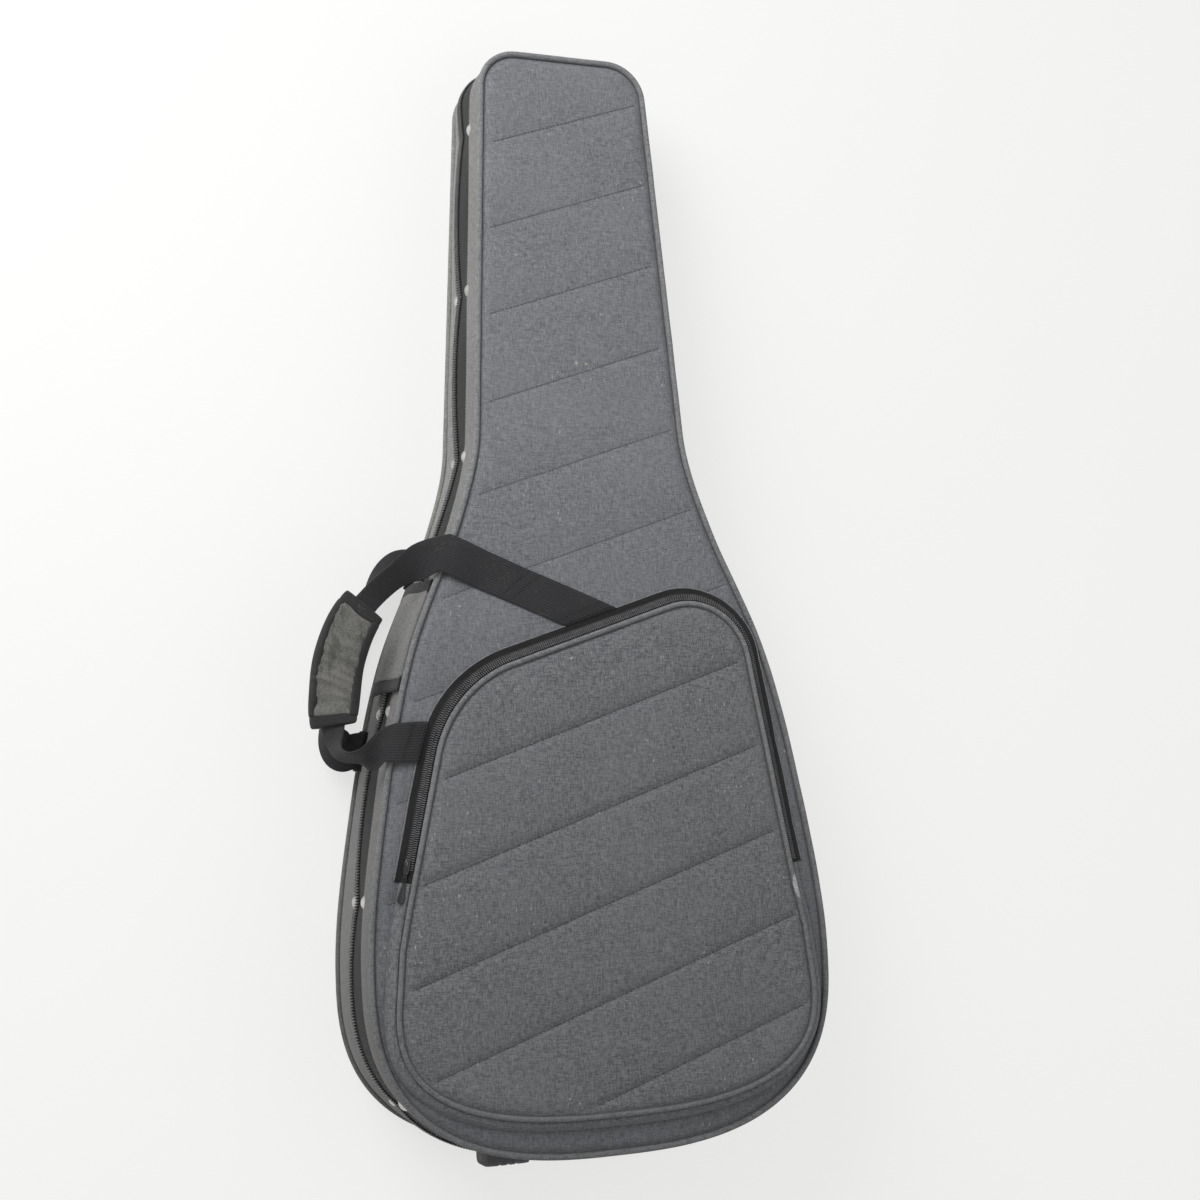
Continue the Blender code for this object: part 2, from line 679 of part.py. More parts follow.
def build_lid():
    rim = CLEARANCE / 2
    foam_out = -CLEARANCE
    ceiling_high = LID_TOP - PANEL_THICKNESS - CLEARANCE
    ceiling_low = ceiling_high - FOAM_FLOOR
    piping_z = LID_TOP - PIPING_DROP
    panel_out = PIPING_SET_OUT - PIPING_RADIUS - CLEARANCE
    add("lid_front_panel", slab(CASE, panel_out, level(LID_TOP - PANEL_THICKNESS), level(LID_TOP)),
        GREY_CLOTH, "lid")
    add("lid_piping", follow(CASE, round_profile(PIPING_SET_OUT, piping_z, PIPING_RADIUS)),
        GREY_PIPING, "lid")
    add("lid_foam_shell", tray(CASE, foam_out, FOAM_WALL, level(rim), level(ceiling_high),
                               level(ceiling_low)), FOAM, "lid")
    lining_out = foam_out - FOAM_WALL - CLEARANCE
    add("lid_lining", tray(CASE, lining_out, LINING_THICKNESS, level(rim),
                           level(ceiling_low - CLEARANCE),
                           level(ceiling_low - CLEARANCE - LINING_THICKNESS)), PLUSH, "lid")
    band = box_profile(0.0, BAND_THICKNESS, LID_TAPE_WIDTH + CLEARANCE,
                       piping_z - PIPING_RADIUS - CLEARANCE)
    add("lid_side_band", follow(CASE, band), GREY_BAND, "lid")
    add_zip_half("lid", rim, LID_TAPE_WIDTH, CLEARANCE / 2)


def gusset_z(out):
    """Height of the sloping pocket wall at a distance outside the pocket's panel."""
    top = POCKET_TOP - GUSSET_DROP
    foot = LID_TOP + CLEARANCE
    share = (out - GUSSET_INNER) / (GUSSET_OUTER - GUSSET_INNER)
    return top + (foot - top) * share


def sloped(out_low, out_high):
    """Profile of a strip lying on the slope of the pocket wall."""
    return [(out_low, gusset_z(out_low)), (out_high, gusset_z(out_high)),
            (out_high, gusset_z(out_high) + GUSSET_THICKNESS),
            (out_low, gusset_z(out_low) + GUSSET_THICKNESS)]


def coil_on_slope(out):
    """Profile of a zip coil standing on the pocket wall, from a distance outside the panel."""
    foot = gusset_z(out) + GUSSET_THICKNESS + CLEARANCE
    return box_profile(out, out + POCKET_COIL_SIZE, foot, foot + POCKET_COIL_SIZE)


def build_pocket():
    fold = along_case(FOLD_HEIGHT)
    panel_out = POCKET_PIPING_SET_OUT - POCKET_PIPING_RADIUS - CLEARANCE
    piping = round_profile(POCKET_PIPING_SET_OUT, POCKET_TOP - PIPING_DROP, POCKET_PIPING_RADIUS)
    lower = cut_at(POCKET, fold - CLEARANCE / 2, False)
    upper = cut_at(POCKET, fold + CLEARANCE / 2, True)
    zip_run = cut_at(POCKET, fold + INNER_ZIP_START, True)
    low_z, high_z = level(POCKET_TOP - PANEL_THICKNESS), level(POCKET_TOP)
    coil_in = coil_on_slope(POCKET_ZIP_LINE - CLEARANCE - POCKET_COIL_SIZE)
    coil_out = coil_on_slope(POCKET_ZIP_LINE + CLEARANCE)
    add("pocket_lower_panel", flat_cut(lower, panel_out, low_z, high_z, fold - CLEARANCE / 2),
        GREY_CLOTH, "lid")
    add("pocket_lower_piping", follow(lower, piping, closed=False), GREY_PIPING, "lid")
    add("pocket_gusset", follow(lower, sloped(GUSSET_INNER, GUSSET_OUTER), closed=False),
        GREY_CLOTH, "lid")
    outer_tape = sloped(POCKET_ZIP_LINE + CLEARANCE, GUSSET_OUTER)
    inner_tape = sloped(GUSSET_INNER, POCKET_ZIP_LINE - CLEARANCE)
    add("pocket_outer_tape", follow(upper, outer_tape, closed=False), BLACK_TAPE, "lid")
    add("pocket_outer_coil", follow(upper, coil_out, closed=False), BLACK_COIL, "lid")
    add("pocket_flap_panel", flat_cut(upper, panel_out, low_z, high_z, fold + CLEARANCE / 2),
        GREY_CLOTH, "pocket_flap")
    add("pocket_flap_piping", follow(upper, piping, closed=False), GREY_PIPING, "pocket_flap")
    add("pocket_inner_tape", follow(zip_run, inner_tape, closed=False), BLACK_TAPE, "pocket_flap")
    add("pocket_inner_coil", follow(zip_run, coil_in, closed=False), BLACK_COIL, "pocket_flap")


def flat_cut(path, out, z_low, z_high, y):
    """A slab whose cut edge stays on one straight line across the case."""
    shape = slab(path, out, z_low, z_high)
    for v in shape.verts:
        if abs(v.co.y - y) < 2 * SHORT_STEP:
            v.co.y = y
    return shape


def build_pocket_slider():
    centre, run, base_z = pocket_slider_seat()
    turn = axes((run.x, run.y, 0), (0, 0, 1))
    add("pocket_slider", block((SLIDER_WIDTH, SLIDER_LENGTH, SLIDER_HEIGHT),
                               (centre.x, centre.y, base_z + SLIDER_HEIGHT / 2), turn),
        BLACK_ENAMEL, "pocket_slider")
    reach = SLIDER_LENGTH / 2 + PULL_PLAY + PULL_LENGTH / 2
    tab = centre - Vector((run.x, run.y)) * reach
    add("pocket_pull", block((PULL_WIDTH, PULL_LENGTH, PULL_THICKNESS),
                             (tab.x, tab.y, base_z + PULL_THICKNESS / 2), turn),
        BLACK_ENAMEL, "pocket_pull")


def pocket_slider_seat():
    """Middle of the pocket's slider on the zip line, its head-ward run and the height of its foot."""
    p, n, run = pocket_left_side(FOLD_HEIGHT + SLIDER_ABOVE_FOLD)
    foot = gusset_z(POCKET_ZIP_LINE) + GUSSET_THICKNESS + POCKET_COIL_SIZE + 3 * CLEARANCE
    return p + n * (POCKET_ZIP_LINE + CLEARANCE + SLIDER_WIDTH / 2), run, foot


def pocket_left_side(height):
    """Point, outward normal and head-ward run of the straight left side of the pocket."""
    foot = Vector((-POCKET_SIDE_HALF_WIDTH, along_case(POCKET_SIDE_HEIGHT)))
    corner = Vector((POCKET_LEFT_CORNER[0], along_case(POCKET_LEFT_CORNER[1])))
    run = (corner - foot).normalized()
    share = (along_case(height) - foot.y) / run.y
    return foot + run * share, Vector((-run.y, run.x)), run


# Handles

EDGE_CLEAR = PIPING_SET_OUT + PIPING_RADIUS + STRAP_PLAY
STRAP_TOP = LID_TOP + PIPING_RADIUS + 2 * STRAP_PLAY
REAR_SEAT = BAND_THICKNESS + CLEARANCE


def handle_root(height, z):
    """Where a strap crosses the edge of the lid."""
    p, n, run = spot(height, -1)
    return Vector((p.x + n.x * EDGE_CLEAR, p.y + n.y * EDGE_CLEAR, z))


def handle_axis(z):
    upper, lower = handle_root(UPPER_STRAP_HEIGHT, z), handle_root(LOWER_STRAP_HEIGHT, z)
    return upper, lower, (upper - lower).normalized()


def outboard(height, out, z):
    """A point beside the left edge of the case."""
    p, n, run = spot(height, -1)
    return Vector((p.x - out, along_case(height), z))


def build_front_handle():
    upper, lower, axis = handle_axis(STRAP_TOP)
    route = [upper] + [outboard(*place) for place in FRONT_ROUTE] + [lower]
    stations, length = strap_stations(route, FRONT_STEPS, (0, 0, 1), FRONT_ROLLS, axis)
    add("front_handle_loop", ribbon(stations, strap_profile(WEBBING_WIDTH, WEBBING_THICKNESS)),
        BLACK_WEBBING, "front_handle")
    inside = WEBBING_WIDTH / 2 + GRIP_PLAY
    outside = inside + GRIP_WALL
    low, high = -GRIP_PLAY, WEBBING_THICKNESS + GRIP_PLAY
    seam_low, seam_high = (WEBBING_WIDTH / 2 * share for share in GRIP_SEAM)
    wrap = [(-inside, low), (inside, low), (inside, high), (seam_high, high),
            (seam_high, high + GRIP_WALL), (outside, high + GRIP_WALL), (outside, low - GRIP_WALL),
            (-outside, low - GRIP_WALL), (-outside, high + GRIP_WALL),
            (seam_low, high + GRIP_WALL), (seam_low, high), (-inside, high)]
    start, share = GRIP_START / length, GRIP_LENGTH / length
    cuts = [start, start + GRIP_BINDING / length, start + share - GRIP_BINDING / length, start + share]
    for name, first, last, look in (("grip_binding_upper", cuts[0], cuts[1], BLACK_WEBBING),
                                    ("grip_pad", cuts[1], cuts[2], WORN_GRIP),
                                    ("grip_binding_lower", cuts[2], cuts[3], BLACK_WEBBING)):
        add(name, ribbon(part_stations(stations, first, last), wrap), look, "front_handle")


def part_stations(stations, first, last):
    """Stations between two shares of a strap's length, with its own ends set in by the clearance."""
    count = len(stations) - 1
    inset = 2 * CLEARANCE

    def at(share):
        place = share * count
        i = min(int(place), count - 1)
        return tuple(a.lerp(b, place - i) for a, b in zip(stations[i], stations[i + 1]))
    inner = [s for k, s in enumerate(stations) if first + inset < k / count < last - inset]
    return [at(first + inset)] + inner + [at(last - inset)]


def build_front_anchors():
    """Webbing sewn flat to the lid by the pocket, which climbs over the piping to the handle's roots."""
    half = WEBBING_WIDTH / 2
    upper, lower, axis = handle_axis(STRAP_TOP)
    p, n, run = spot(UPPER_STRAP_HEIGHT, -1)
    rows = []
    for side in (-half, half):
        start = p + run * side
        reach = 0.0
        while start.y - n.y * reach > along_case(pocket_edge(start.x - n.x * reach)):
            reach += SHORT_STEP / 2
        root = upper + axis * (side / (axis.x * run.x + axis.y * run.y))
        rows.append([start - n * reach, start - n * ANCHOR_SET_IN, start - n * ANCHOR_STEP,
                     Vector((root.x, root.y)) - n * CLEARANCE])
    add("front_anchor_upper", stepped_strap(rows), BLACK_WEBBING, "lid")
    rows = []
    for k in range(CORNER_STEPS + 1):
        y = along_case(LOWER_STRAP_HEIGHT) - half + WEBBING_WIDTH * k / CORNER_STEPS
        edge = spot(y + LENGTH / 2, -1)[0].x
        root = lower.x + (y - lower.y) * axis.x / axis.y
        rows.append([Vector((x, y)) for x in (pocket_foot_x(y) - 4 * CLEARANCE, edge + ANCHOR_SET_IN,
                                              edge + ANCHOR_STEP, root + CLEARANCE)])
    add("front_anchor_lower", stepped_strap(rows), BLACK_WEBBING, "lid")


def pocket_edge(x):
    """Height of the foot of the pocket's zip along its rising top edge."""
    top = Vector(POCKET_RIGHT_CORNER) - Vector(POCKET_LEFT_CORNER)
    rise = top.y / top.x
    foot = (GUSSET_OUTER + 2 * CLEARANCE) * math.hypot(1, rise)
    return POCKET_LEFT_CORNER[1] + (x - POCKET_LEFT_CORNER[0]) * rise + foot


def stepped_strap(rows):
    """A strap from rows of four plan points, flat on the lid for two and over the piping for two."""
    flat = LID_TOP + CLEARANCE
    over = LID_TOP - PIPING_DROP + PIPING_RADIUS + CLEARANCE
    lows = (flat, flat, over, over)
    highs = (flat + WEBBING_THICKNESS, flat + WEBBING_THICKNESS, STRAP_TOP - 2 * CLEARANCE,
             STRAP_TOP - 2 * CLEARANCE)
    stations = []
    for row in rows:
        under = [(q.x, q.y, z) for q, z in zip(row, lows)]
        above = [(q.x, q.y, z) for q, z in zip(row, highs)]
        stations.append(under + above[::-1])
    return skin(stations, False)


def pocket_foot_x(y):
    """Left foot of the pocket's sloping wall at a place along the case."""
    left = [p + n * GUSSET_OUTER for p, n in POCKET if p.x < 0 and p.y > along_case(POCKET_WIDEST)]
    left.sort(key=lambda p: p.y)
    i = next(j for j in range(1, len(left)) if left[j].y >= y)
    share = (y - left[i - 1].y) / (left[i].y - left[i - 1].y)
    return left[i - 1].lerp(left[i], share).x


def rear_loop_end(height):
    """Where the rear loop leaves its stitched end."""
    p, n, run = spot(height, -1)
    end = p + n * (REAR_SEAT + REAR_ANCHOR_FOLD - WEBBING_THICKNESS)
    return Vector((end.x, end.y, back_z(end.y) + REAR_ANCHOR_HEIGHT + WEBBING_THICKNESS))


def build_rear_handle():
    """Plain webbing loop on the base, and the two stitched ends that carry it."""
    profile = box_profile(REAR_SEAT, REAR_SEAT + REAR_ANCHOR_FOLD,
                          REAR_ANCHOR_HEIGHT - REAR_ANCHOR_DEPTH, REAR_ANCHOR_HEIGHT)
    for name, height in (("rear_anchor_upper", UPPER_STRAP_HEIGHT),
                         ("rear_anchor_lower", LOWER_STRAP_HEIGHT)):
        path = stretch(CASE, height - WEBBING_WIDTH / 2, height + WEBBING_WIDTH / 2, -1)
        add(name, follow(path, profile, closed=False, lift=back_z), BLACK_WEBBING, "base")
    upper, lower = rear_loop_end(UPPER_STRAP_HEIGHT), rear_loop_end(LOWER_STRAP_HEIGHT)
    axis = (upper - lower).normalized()
    route = [upper] + [outboard(height, out, -REAR_LOOP_DROP) for height, out in REAR_ROUTE] + [lower]
    stations = strap_stations(route, REAR_STEPS, (0, 0, 1), (0, 0), axis)[0]
    add("rear_handle_loop", ribbon(stations, strap_profile(WEBBING_WIDTH, WEBBING_THICKNESS)),
        BLACK_WEBBING, "rear_handle")


# Guard flap and the main sliders under it

GUARD_TOP = LID_TOP - PIPING_DROP - PIPING_RADIUS


def build_guard_flap():
    inner, outer = BAND_THICKNESS + GUARD_SEAT, GUARD_STAND_OFF
    thick = GUARD_THICKNESS
    top = GUARD_TOP - GUARD_HEAD_ROOM
    high_rise, low_rise = GUARD_BEND_RISE
    profile = [(inner, top), (inner, GUARD_BEND_HIGH), (outer, GUARD_BEND_LOW), (outer, -GUARD_DROP),
               (outer + thick, -GUARD_DROP), (outer + thick, GUARD_BEND_LOW + low_rise),
               (inner + thick, GUARD_BEND_HIGH + high_rise), (inner + thick, top)]
    low, high = GUARD_LOW + GUARD_BINDING, GUARD_HIGH - GUARD_BINDING
    for name, first, last, look in (("guard_binding_lower", GUARD_LOW, low, BLACK_WEBBING),
                                    ("guard_flap_pad", low + CLEARANCE, high - CLEARANCE, GREY_BAND),
                                    ("guard_binding_upper", high, GUARD_HIGH, BLACK_WEBBING)):
        add(name, follow(stretch(CASE, first, last, -1), profile, closed=False), look, "guard_flap")


def main_slider_frame(name):
    """Point, outward normal and head-ward run of the case outline where a main slider is parked."""
    side = 1 if name == "upper" else -1
    middle = (GUARD_LOW + GUARD_HIGH) / 2
    return spot(middle + side * MAIN_SLIDER_SPACING / 2, -1)


def build_main_sliders():
    seat = TAPE_THICKNESS + CLEARANCE + COIL_SIZE + MAIN_SLIDER_PLAY
    for name in ("upper", "lower"):
        p, n, run = main_slider_frame(name)
        turn = axes((run.x, run.y, 0), (n.x, n.y, 0))
        centre = p + n * (seat + MAIN_SLIDER_HEIGHT / 2)
        add(name + "_slider", block((MAIN_SLIDER_WIDTH, MAIN_SLIDER_LENGTH, MAIN_SLIDER_HEIGHT),
                                    (centre.x, centre.y, 0.0), turn), BLACK_ENAMEL, name + "_slider")
        drop = MAIN_SLIDER_WIDTH / 2 + PULL_PLAY + MAIN_PULL_LENGTH / 2
        add(name + "_pull", block((MAIN_PULL_LENGTH, MAIN_PULL_WIDTH, PULL_THICKNESS),
                                  (centre.x, centre.y, -drop), turn), BLACK_ENAMEL, name + "_pull")


def place_bodies():
    body("lid", "base", (BOUT_HALF_WIDTH + HINGE_SET_OUT, along_case(BOUT_HEIGHT), 0.0))
    body("pocket_flap", "lid", (0.0, along_case(FOLD_HEIGHT), POCKET_TOP + POCKET_PIPING_RADIUS))
    centre, run, base_z = pocket_slider_seat()
    body("pocket_slider", "lid", (centre.x, centre.y, base_z))
    tab = centre - run * (SLIDER_LENGTH / 2 + PULL_PLAY)
    body("pocket_pull", "pocket_slider", (tab.x, tab.y, base_z + PULL_THICKNESS / 2))
    upper, lower, axis = handle_axis(STRAP_TOP)
    body("front_handle", "lid", (upper + lower) / 2)
    body("rear_handle", "base",
         (rear_loop_end(UPPER_STRAP_HEIGHT) + rear_loop_end(LOWER_STRAP_HEIGHT)) / 2)
    p, n, run = spot((GUARD_LOW + GUARD_HIGH) / 2, -1)
    hem = p + n * GUARD_AXIS_SET_OUT
    body("guard_flap", "lid", (hem.x, hem.y, GUARD_TOP))
    for name in ("upper", "lower"):
        p, n, run = main_slider_frame(name)
        body(name + "_slider", "base", (p.x, p.y, 0.0))
        body(name + "_pull", name + "_slider", (p.x, p.y, -MAIN_SLIDER_WIDTH / 2))


place_bodies()
tray_floor = build_base()
add_rivets("base", -BASE_TAPE_WIDTH - RIVET_INSET, RIVET_HEIGHTS[:-1])
build_feet()
build_neck_rest(tray_floor)
build_lid()
add_rivets("lid", LID_TAPE_WIDTH + RIVET_INSET, RIVET_HEIGHTS)
build_pocket()
build_pocket_slider()
build_front_anchors()
build_front_handle()
build_rear_handle()
build_guard_flap()
build_main_sliders()
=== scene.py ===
"""Looks of a semi-rigid padded guitar case in grey melange cloth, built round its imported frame.

Pieces are modelled in the case frame (metres): X across, Y along with the head end at +Y, Z out of
the lid, and Z = 0 on the parting plane between base and lid.  lay() turns that frame into the world,
where the case lies on its back on the floor.  The camera looks down at the lid from the direction in
which the photograph looks at the leaning case.
"""
import math
from collections import namedtuple

import bmesh
import bpy
import numpy as np
from mathutils import Matrix, Vector
from mathutils.geometry import delaunay_2d_cdt


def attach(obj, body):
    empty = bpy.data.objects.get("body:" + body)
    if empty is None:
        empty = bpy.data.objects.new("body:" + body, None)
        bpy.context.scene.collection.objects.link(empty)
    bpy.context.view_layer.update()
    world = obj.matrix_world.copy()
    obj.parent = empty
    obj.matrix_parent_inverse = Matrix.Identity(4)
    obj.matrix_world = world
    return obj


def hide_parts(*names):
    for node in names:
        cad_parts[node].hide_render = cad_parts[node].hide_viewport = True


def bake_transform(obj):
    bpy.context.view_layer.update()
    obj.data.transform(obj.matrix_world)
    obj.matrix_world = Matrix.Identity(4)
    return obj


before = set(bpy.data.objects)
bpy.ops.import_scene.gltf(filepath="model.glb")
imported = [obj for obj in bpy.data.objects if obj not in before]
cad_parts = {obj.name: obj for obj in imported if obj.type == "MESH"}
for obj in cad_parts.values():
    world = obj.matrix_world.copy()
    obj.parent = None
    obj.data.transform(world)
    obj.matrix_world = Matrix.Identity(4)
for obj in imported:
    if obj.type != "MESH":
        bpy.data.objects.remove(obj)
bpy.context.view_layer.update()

# Outline of the case: half widths at heights from the tail end
LENGTH = 1.078
BOUT = (0.175, 0.2275)
FLANK = (0.330, 0.2100)
SHOULDER = (0.470, 0.1795)
THROAT = (0.600, 0.1270)
NECK = (0.690, 0.1050)
HEAD_HALF_WIDTH = 0.0850
HEAD_CORNER_RADIUS = 0.036
TAIL_ROUNDNESS = 2.7

# Depths and layers
LID_TOP = 0.067
BASE_DEPTH_TAIL = 0.086
BASE_DEPTH_HEAD = 0.029
CLEARANCE = 0.0003
FOAM_WALL = 0.0198
PANEL_THICKNESS = 0.004
TRAY_FLOOR = 0.0161
PIPING_RADIUS = 0.0028
PIPING_SET_OUT = 0.0019
PIPING_DROP = 0.001
BACK_PIPING_SET_OUT = 0.0029
BACK_PIPING_LIFT = 0.0033

# Quilting: each quilt has the height of its line 0, pitch, first line, end of its lines and groove
QUILT_SLOPE = 0.345
LID_QUILT = (0.313, 0.0873, -2, 9, 0.0006)
POCKET_QUILT = (0.052, 0.0885, 0, 6, 0.0022)
QUILT_CROWN = 0.0014
CROWN_REACH = 0.017
GROOVE_REACH = 0.0032
GROOVE_ROWS = (0.0009, 0.0021, 0.0042, 0.0085)
UNEVENNESS = 0.0004
UNEVEN_SIZE = 0.085
RIM_RINGS = (0.0, 0.0012, 0.0030, 0.0062)
RIM_WIDTH = 0.0075
LID_EDGE_DROP = 0.0022
POCKET_EDGE_DROP = 0.0018
BACK_PANEL_LIFT = QUILT_CROWN + 0.0007
LID_STITCH_SET_IN = 0.009
POCKET_STITCH_SET_IN = 0.008
STITCH_PITCH = 0.0042
STITCH_WIDTH = 0.0010
STITCH_LIFT = 0.0002
SEAM_PITCH = 0.0036
# Radius of the dark cords beside the piping, which stand for its seam line and painted shadow in its
# groove
SEAM_SHADOW_RADIUS = 0.0007
THREAD_SIZE = 0.0008
PIPING_WAVE = 0.0003
LID_WAVE_SIZE = 0.06
POCKET_WAVE_SIZE = 0.05
# Dark cords beside the lid piping: its seam line and painted shadow in the groove beside it
LID_SEAM_SHADOW_CORDS = ((PIPING_SET_OUT - PIPING_RADIUS - 0.0002, LID_TOP - 0.0019),
             (PIPING_SET_OUT + 0.0010, LID_TOP - PIPING_DROP - PIPING_RADIUS))

# Padded side bands: a hem laps the zip, and rises and is pushed out where it is slack between rivets
Band = namedtuple("Band", "lap rise push bulge belly seam_out seam_push seam_up")
LID_BAND = Band(0.0025, 0.0085, 0.35, 0.0012, 0.0006, 0.0020, 0.80, 0.0028)
BASE_BAND = Band(0.0022, 0.0080, 0.50, 0.0016, 0.0014, 0.0022, 0.85, 0.0030)
BAND_OUT = 0.0016
BAND_IN = 0.0002
BAND_TUCK = 0.0004
END_SLACK = 0.16
SLACK_POWER = 0.7
GUARD_HOLD = 0.6
GUARD_EASE = 0.02

# Lined trays
TRAY_STEP = 0.006
TRAY_RIM = 0.0035
TRAY_CORNER = 0.012
TRAY_BELLY = 0.0005

# Zip, hinge and rivets
LID_TAPE_WIDTH = 0.023
BASE_TAPE_WIDTH = 0.008
TAPE_THICKNESS = 0.0009
TAPE_UNDER_BAND = 0.009
ZIP_SWELL = 0.0050
COIL_PITCH = 0.0027
COIL_SEAT = 0.0007
COIL_CROSSING = 0.0004
COIL_REACH = 0.0066
COIL_HEIGHT = 0.0031
TOOTH_SHARE = 0.72
ZIP_END = 0.004
HINGE = (0.085, 0.335)
HINGE_THICKNESS = 0.0009
HINGE_BOW = 0.0011
HINGE_BEND = 0.010
RIVET_HEIGHTS = (0.056, 0.242, 0.420, 0.671, 0.842, 1.012)
RIVET_INSET = 0.0035
RIVET_RADIUS = 0.0062
RIVET_DOME = 0.0028
RIVET_SEAT = 0.0020
RIVET_PROFILE = ((1.0, 0.0), (1.02, 0.10), (0.98, 0.22), (0.80, 0.34), (0.72, 0.55), (0.55, 0.80),
                 (0.30, 0.96), (0.08, 1.0))

# Pocket
POCKET_TOP = 0.080
POCKET_BOTTOM = 0.036
POCKET_WIDEST = (0.140, 0.2065)
POCKET_SIDE = (0.235, 0.1930)
POCKET_EASE = 0.6
POCKET_LEFT_CORNER = (-0.1456, 0.436)
POCKET_RIGHT_CORNER = (0.1470, 0.5335)
POCKET_LEFT_RADIUS = 0.115
POCKET_RIGHT_RADIUS = 0.060
POCKET_PIPING_RADIUS = 0.0025
POCKET_PIPING_SET_OUT = 0.0018
FOLD_HEIGHT = 0.256
WALL_INNER = 0.0043
WALL_OUTER = 0.0135
WALL_DROP = 0.0036
WALL_THICKNESS = 0.0012
WALL_BELLY = 0.0022
WALL_HEM = 0.006
WALL_HEM_LIFT = 0.0006
WALL_HEM_INSET = 0.0004
FOLD_BEND = 0.007
RUB = (0.036, 0.009)
RUB_LIFT = 0.0002
# Dark cord beside the pocket piping: its seam line and painted shadow in the groove beside it
POCKET_SEAM_SHADOW_CORD = (POCKET_PIPING_SET_OUT - POCKET_PIPING_RADIUS - 0.0003, POCKET_TOP - 0.0012, 0.0008)
ZIP_LINE = 0.0080
ZIP_LAP = 0.0055
ZIP_EDGE_RADIUS = 0.0008
ZIP_EDGE_LIFT = 0.0010
ZIP_FACE_LIFT = 0.0013
ZIP_BACK_LIFT = 0.0004
POCKET_COIL_PITCH = 0.0021
POCKET_COIL_LIFT = 0.0002
POCKET_COIL_CROSSING = 0.0003
POCKET_COIL_REACH = 0.0036
POCKET_COIL_HEIGHT = 0.0021
POCKET_ZIP_END = 0.012
SLIDER_ON_CASE = 0.270
SLIDER_SIZE = (0.006, 0.014, 0.0028)
SLIDER_PLATE = ((-1.0, 0.55, 0.55), (-0.85, 0.85, 0.62), (-0.2, 1.0, 0.66), (0.5, 1.0, 0.66),
                (0.9, 0.82, 0.62), (1.0, 0.5, 0.55))
SLIDER_LIFT = 0.0016
PULL_LENGTH = 0.026
PULL_PLAY = 0.00095
PULL_WIDTH = 0.0068
PULL_THICKNESS = 0.0016
DROP_STATIONS = ((0.26, 0.22, 0.60), (0.30, 0.42, 0.85), (0.42, 0.62, 0.95), (0.58, 0.80, 1.0),
                 (0.76, 1.0, 1.15), (0.88, 0.98, 1.15), (0.96, 0.74, 1.0), (1.0, 0.36, 0.6))

# Webbing handles, grip and guard flap
WEBBING_WIDTH = 0.038
WEBBING_THICKNESS = 0.0018
UPPER_STRAP_HEIGHT = 0.564
LOWER_STRAP_HEIGHT = 0.386
STRAP_PLAY = 0.001
FRONT_ROUTE = ((0.556, 0.030, 0.0665), (0.536, 0.051, 0.058), (0.506, 0.064, 0.053),
               (0.470, 0.066, 0.050), (0.435, 0.062, 0.049), (0.405, 0.057, 0.050),
               (0.381, 0.048, 0.055), (0.376, 0.027, 0.066))
FRONT_ROLLS = ((0.0, 0), (0.08, -20), (0.18, -38), (0.27, -22), (0.36, 8), (0.66, 12), (0.73, 30),
               (0.80, 70), (0.90, 80), (1.0, 0))
FRONT_FOLD = ((0.0, 1.0), (0.10, 0.94), (0.20, 0.74), (0.30, 0.62), (0.72, 0.60), (0.84, 0.62),
              (0.96, 1.0), (1.0, 1.0))
FRONT_STEPS = 150
FRONT_END = 4 / 30
FRONT_BEND = (-0.006, 0.008)
LAP_STEPS = 30
LAP_LENGTHS = np.arange(0.0, 0.30, 0.0005)
LAP_OVER_ZIP = 0.0005
LAP_LIFT = 0.0004
LAP_RISE = 0.030
LAP_BOW = (0.040, 0.0026)
STRAP_STITCH_ROWS = (1, 3, 14, 16)
STRAP_STITCH = (0.0027, 0.0008, 0.0007)
STRAP_STITCH_SHARES = np.arange(0.06, 0.95, 0.085)
STITCH_SINK = 0.02 * WEBBING_THICKNESS
REAR_ROLLS = ((0.0, 0), (0.2, 76), (0.8, 76), (1.0, 0))
REAR_ROUTE = ((0.566, 0.032), (0.528, 0.050), (0.475, 0.056), (0.425, 0.050), (0.389, 0.032))
REAR_STEPS = 110
REAR_END = 4 / 22
REAR_LOOP_DROP = 0.033
REAR_ANCHOR_HEIGHT = 0.026
REAR_ANCHOR_DEPTH = 0.012
REAR_ANCHOR_FOLD = 0.009
REAR_SEAT = 0.0023
GRIP_START = 0.092
GRIP_LENGTH = 0.120
GRIP_BINDING = 0.011
GRIP_WIDTH = 0.0465
GRIP_THICKNESS = 0.020
GRIP_POWERS = (0.80, 0.90)
GRIP_TUCK = 0.002
GRIP_END_LAP = 0.001
GRIP_CREASE = 0.0028
GRIP_EDGE_ARC = 46
GRIP_EDGE = (0.0010, 0.0012)
GUARD_LOW = 0.436
GUARD_HIGH = 0.540
GUARD_BINDING = 0.013
GUARD_TOP = LID_TOP - PIPING_DROP - PIPING_RADIUS
GUARD_LINE = ((0.0030, GUARD_TOP - 0.0015), (0.0036, 0.049), (0.0050, 0.035), (0.0093, 0.016),
              (0.0097, 0.0), (0.0096, -0.018))
GUARD_SHEET = 0.0020
GUARD_BACK = 0.0002
GUARD_LAP = 0.002
GUARD_PAD_CROWN = 0.0024
GUARD_END_CROWN = 0.0014
GUARD_END_GROW = 0.0004
MAIN_SLIDER_SPACING = 0.027
MAIN_SLIDER_SIZE = (0.011, 0.016, 0.0038)
MAIN_SLIDER_LIFT = 0.0028
MAIN_PULL_LENGTH = 0.026
MAIN_PULL_WIDTH = 0.006

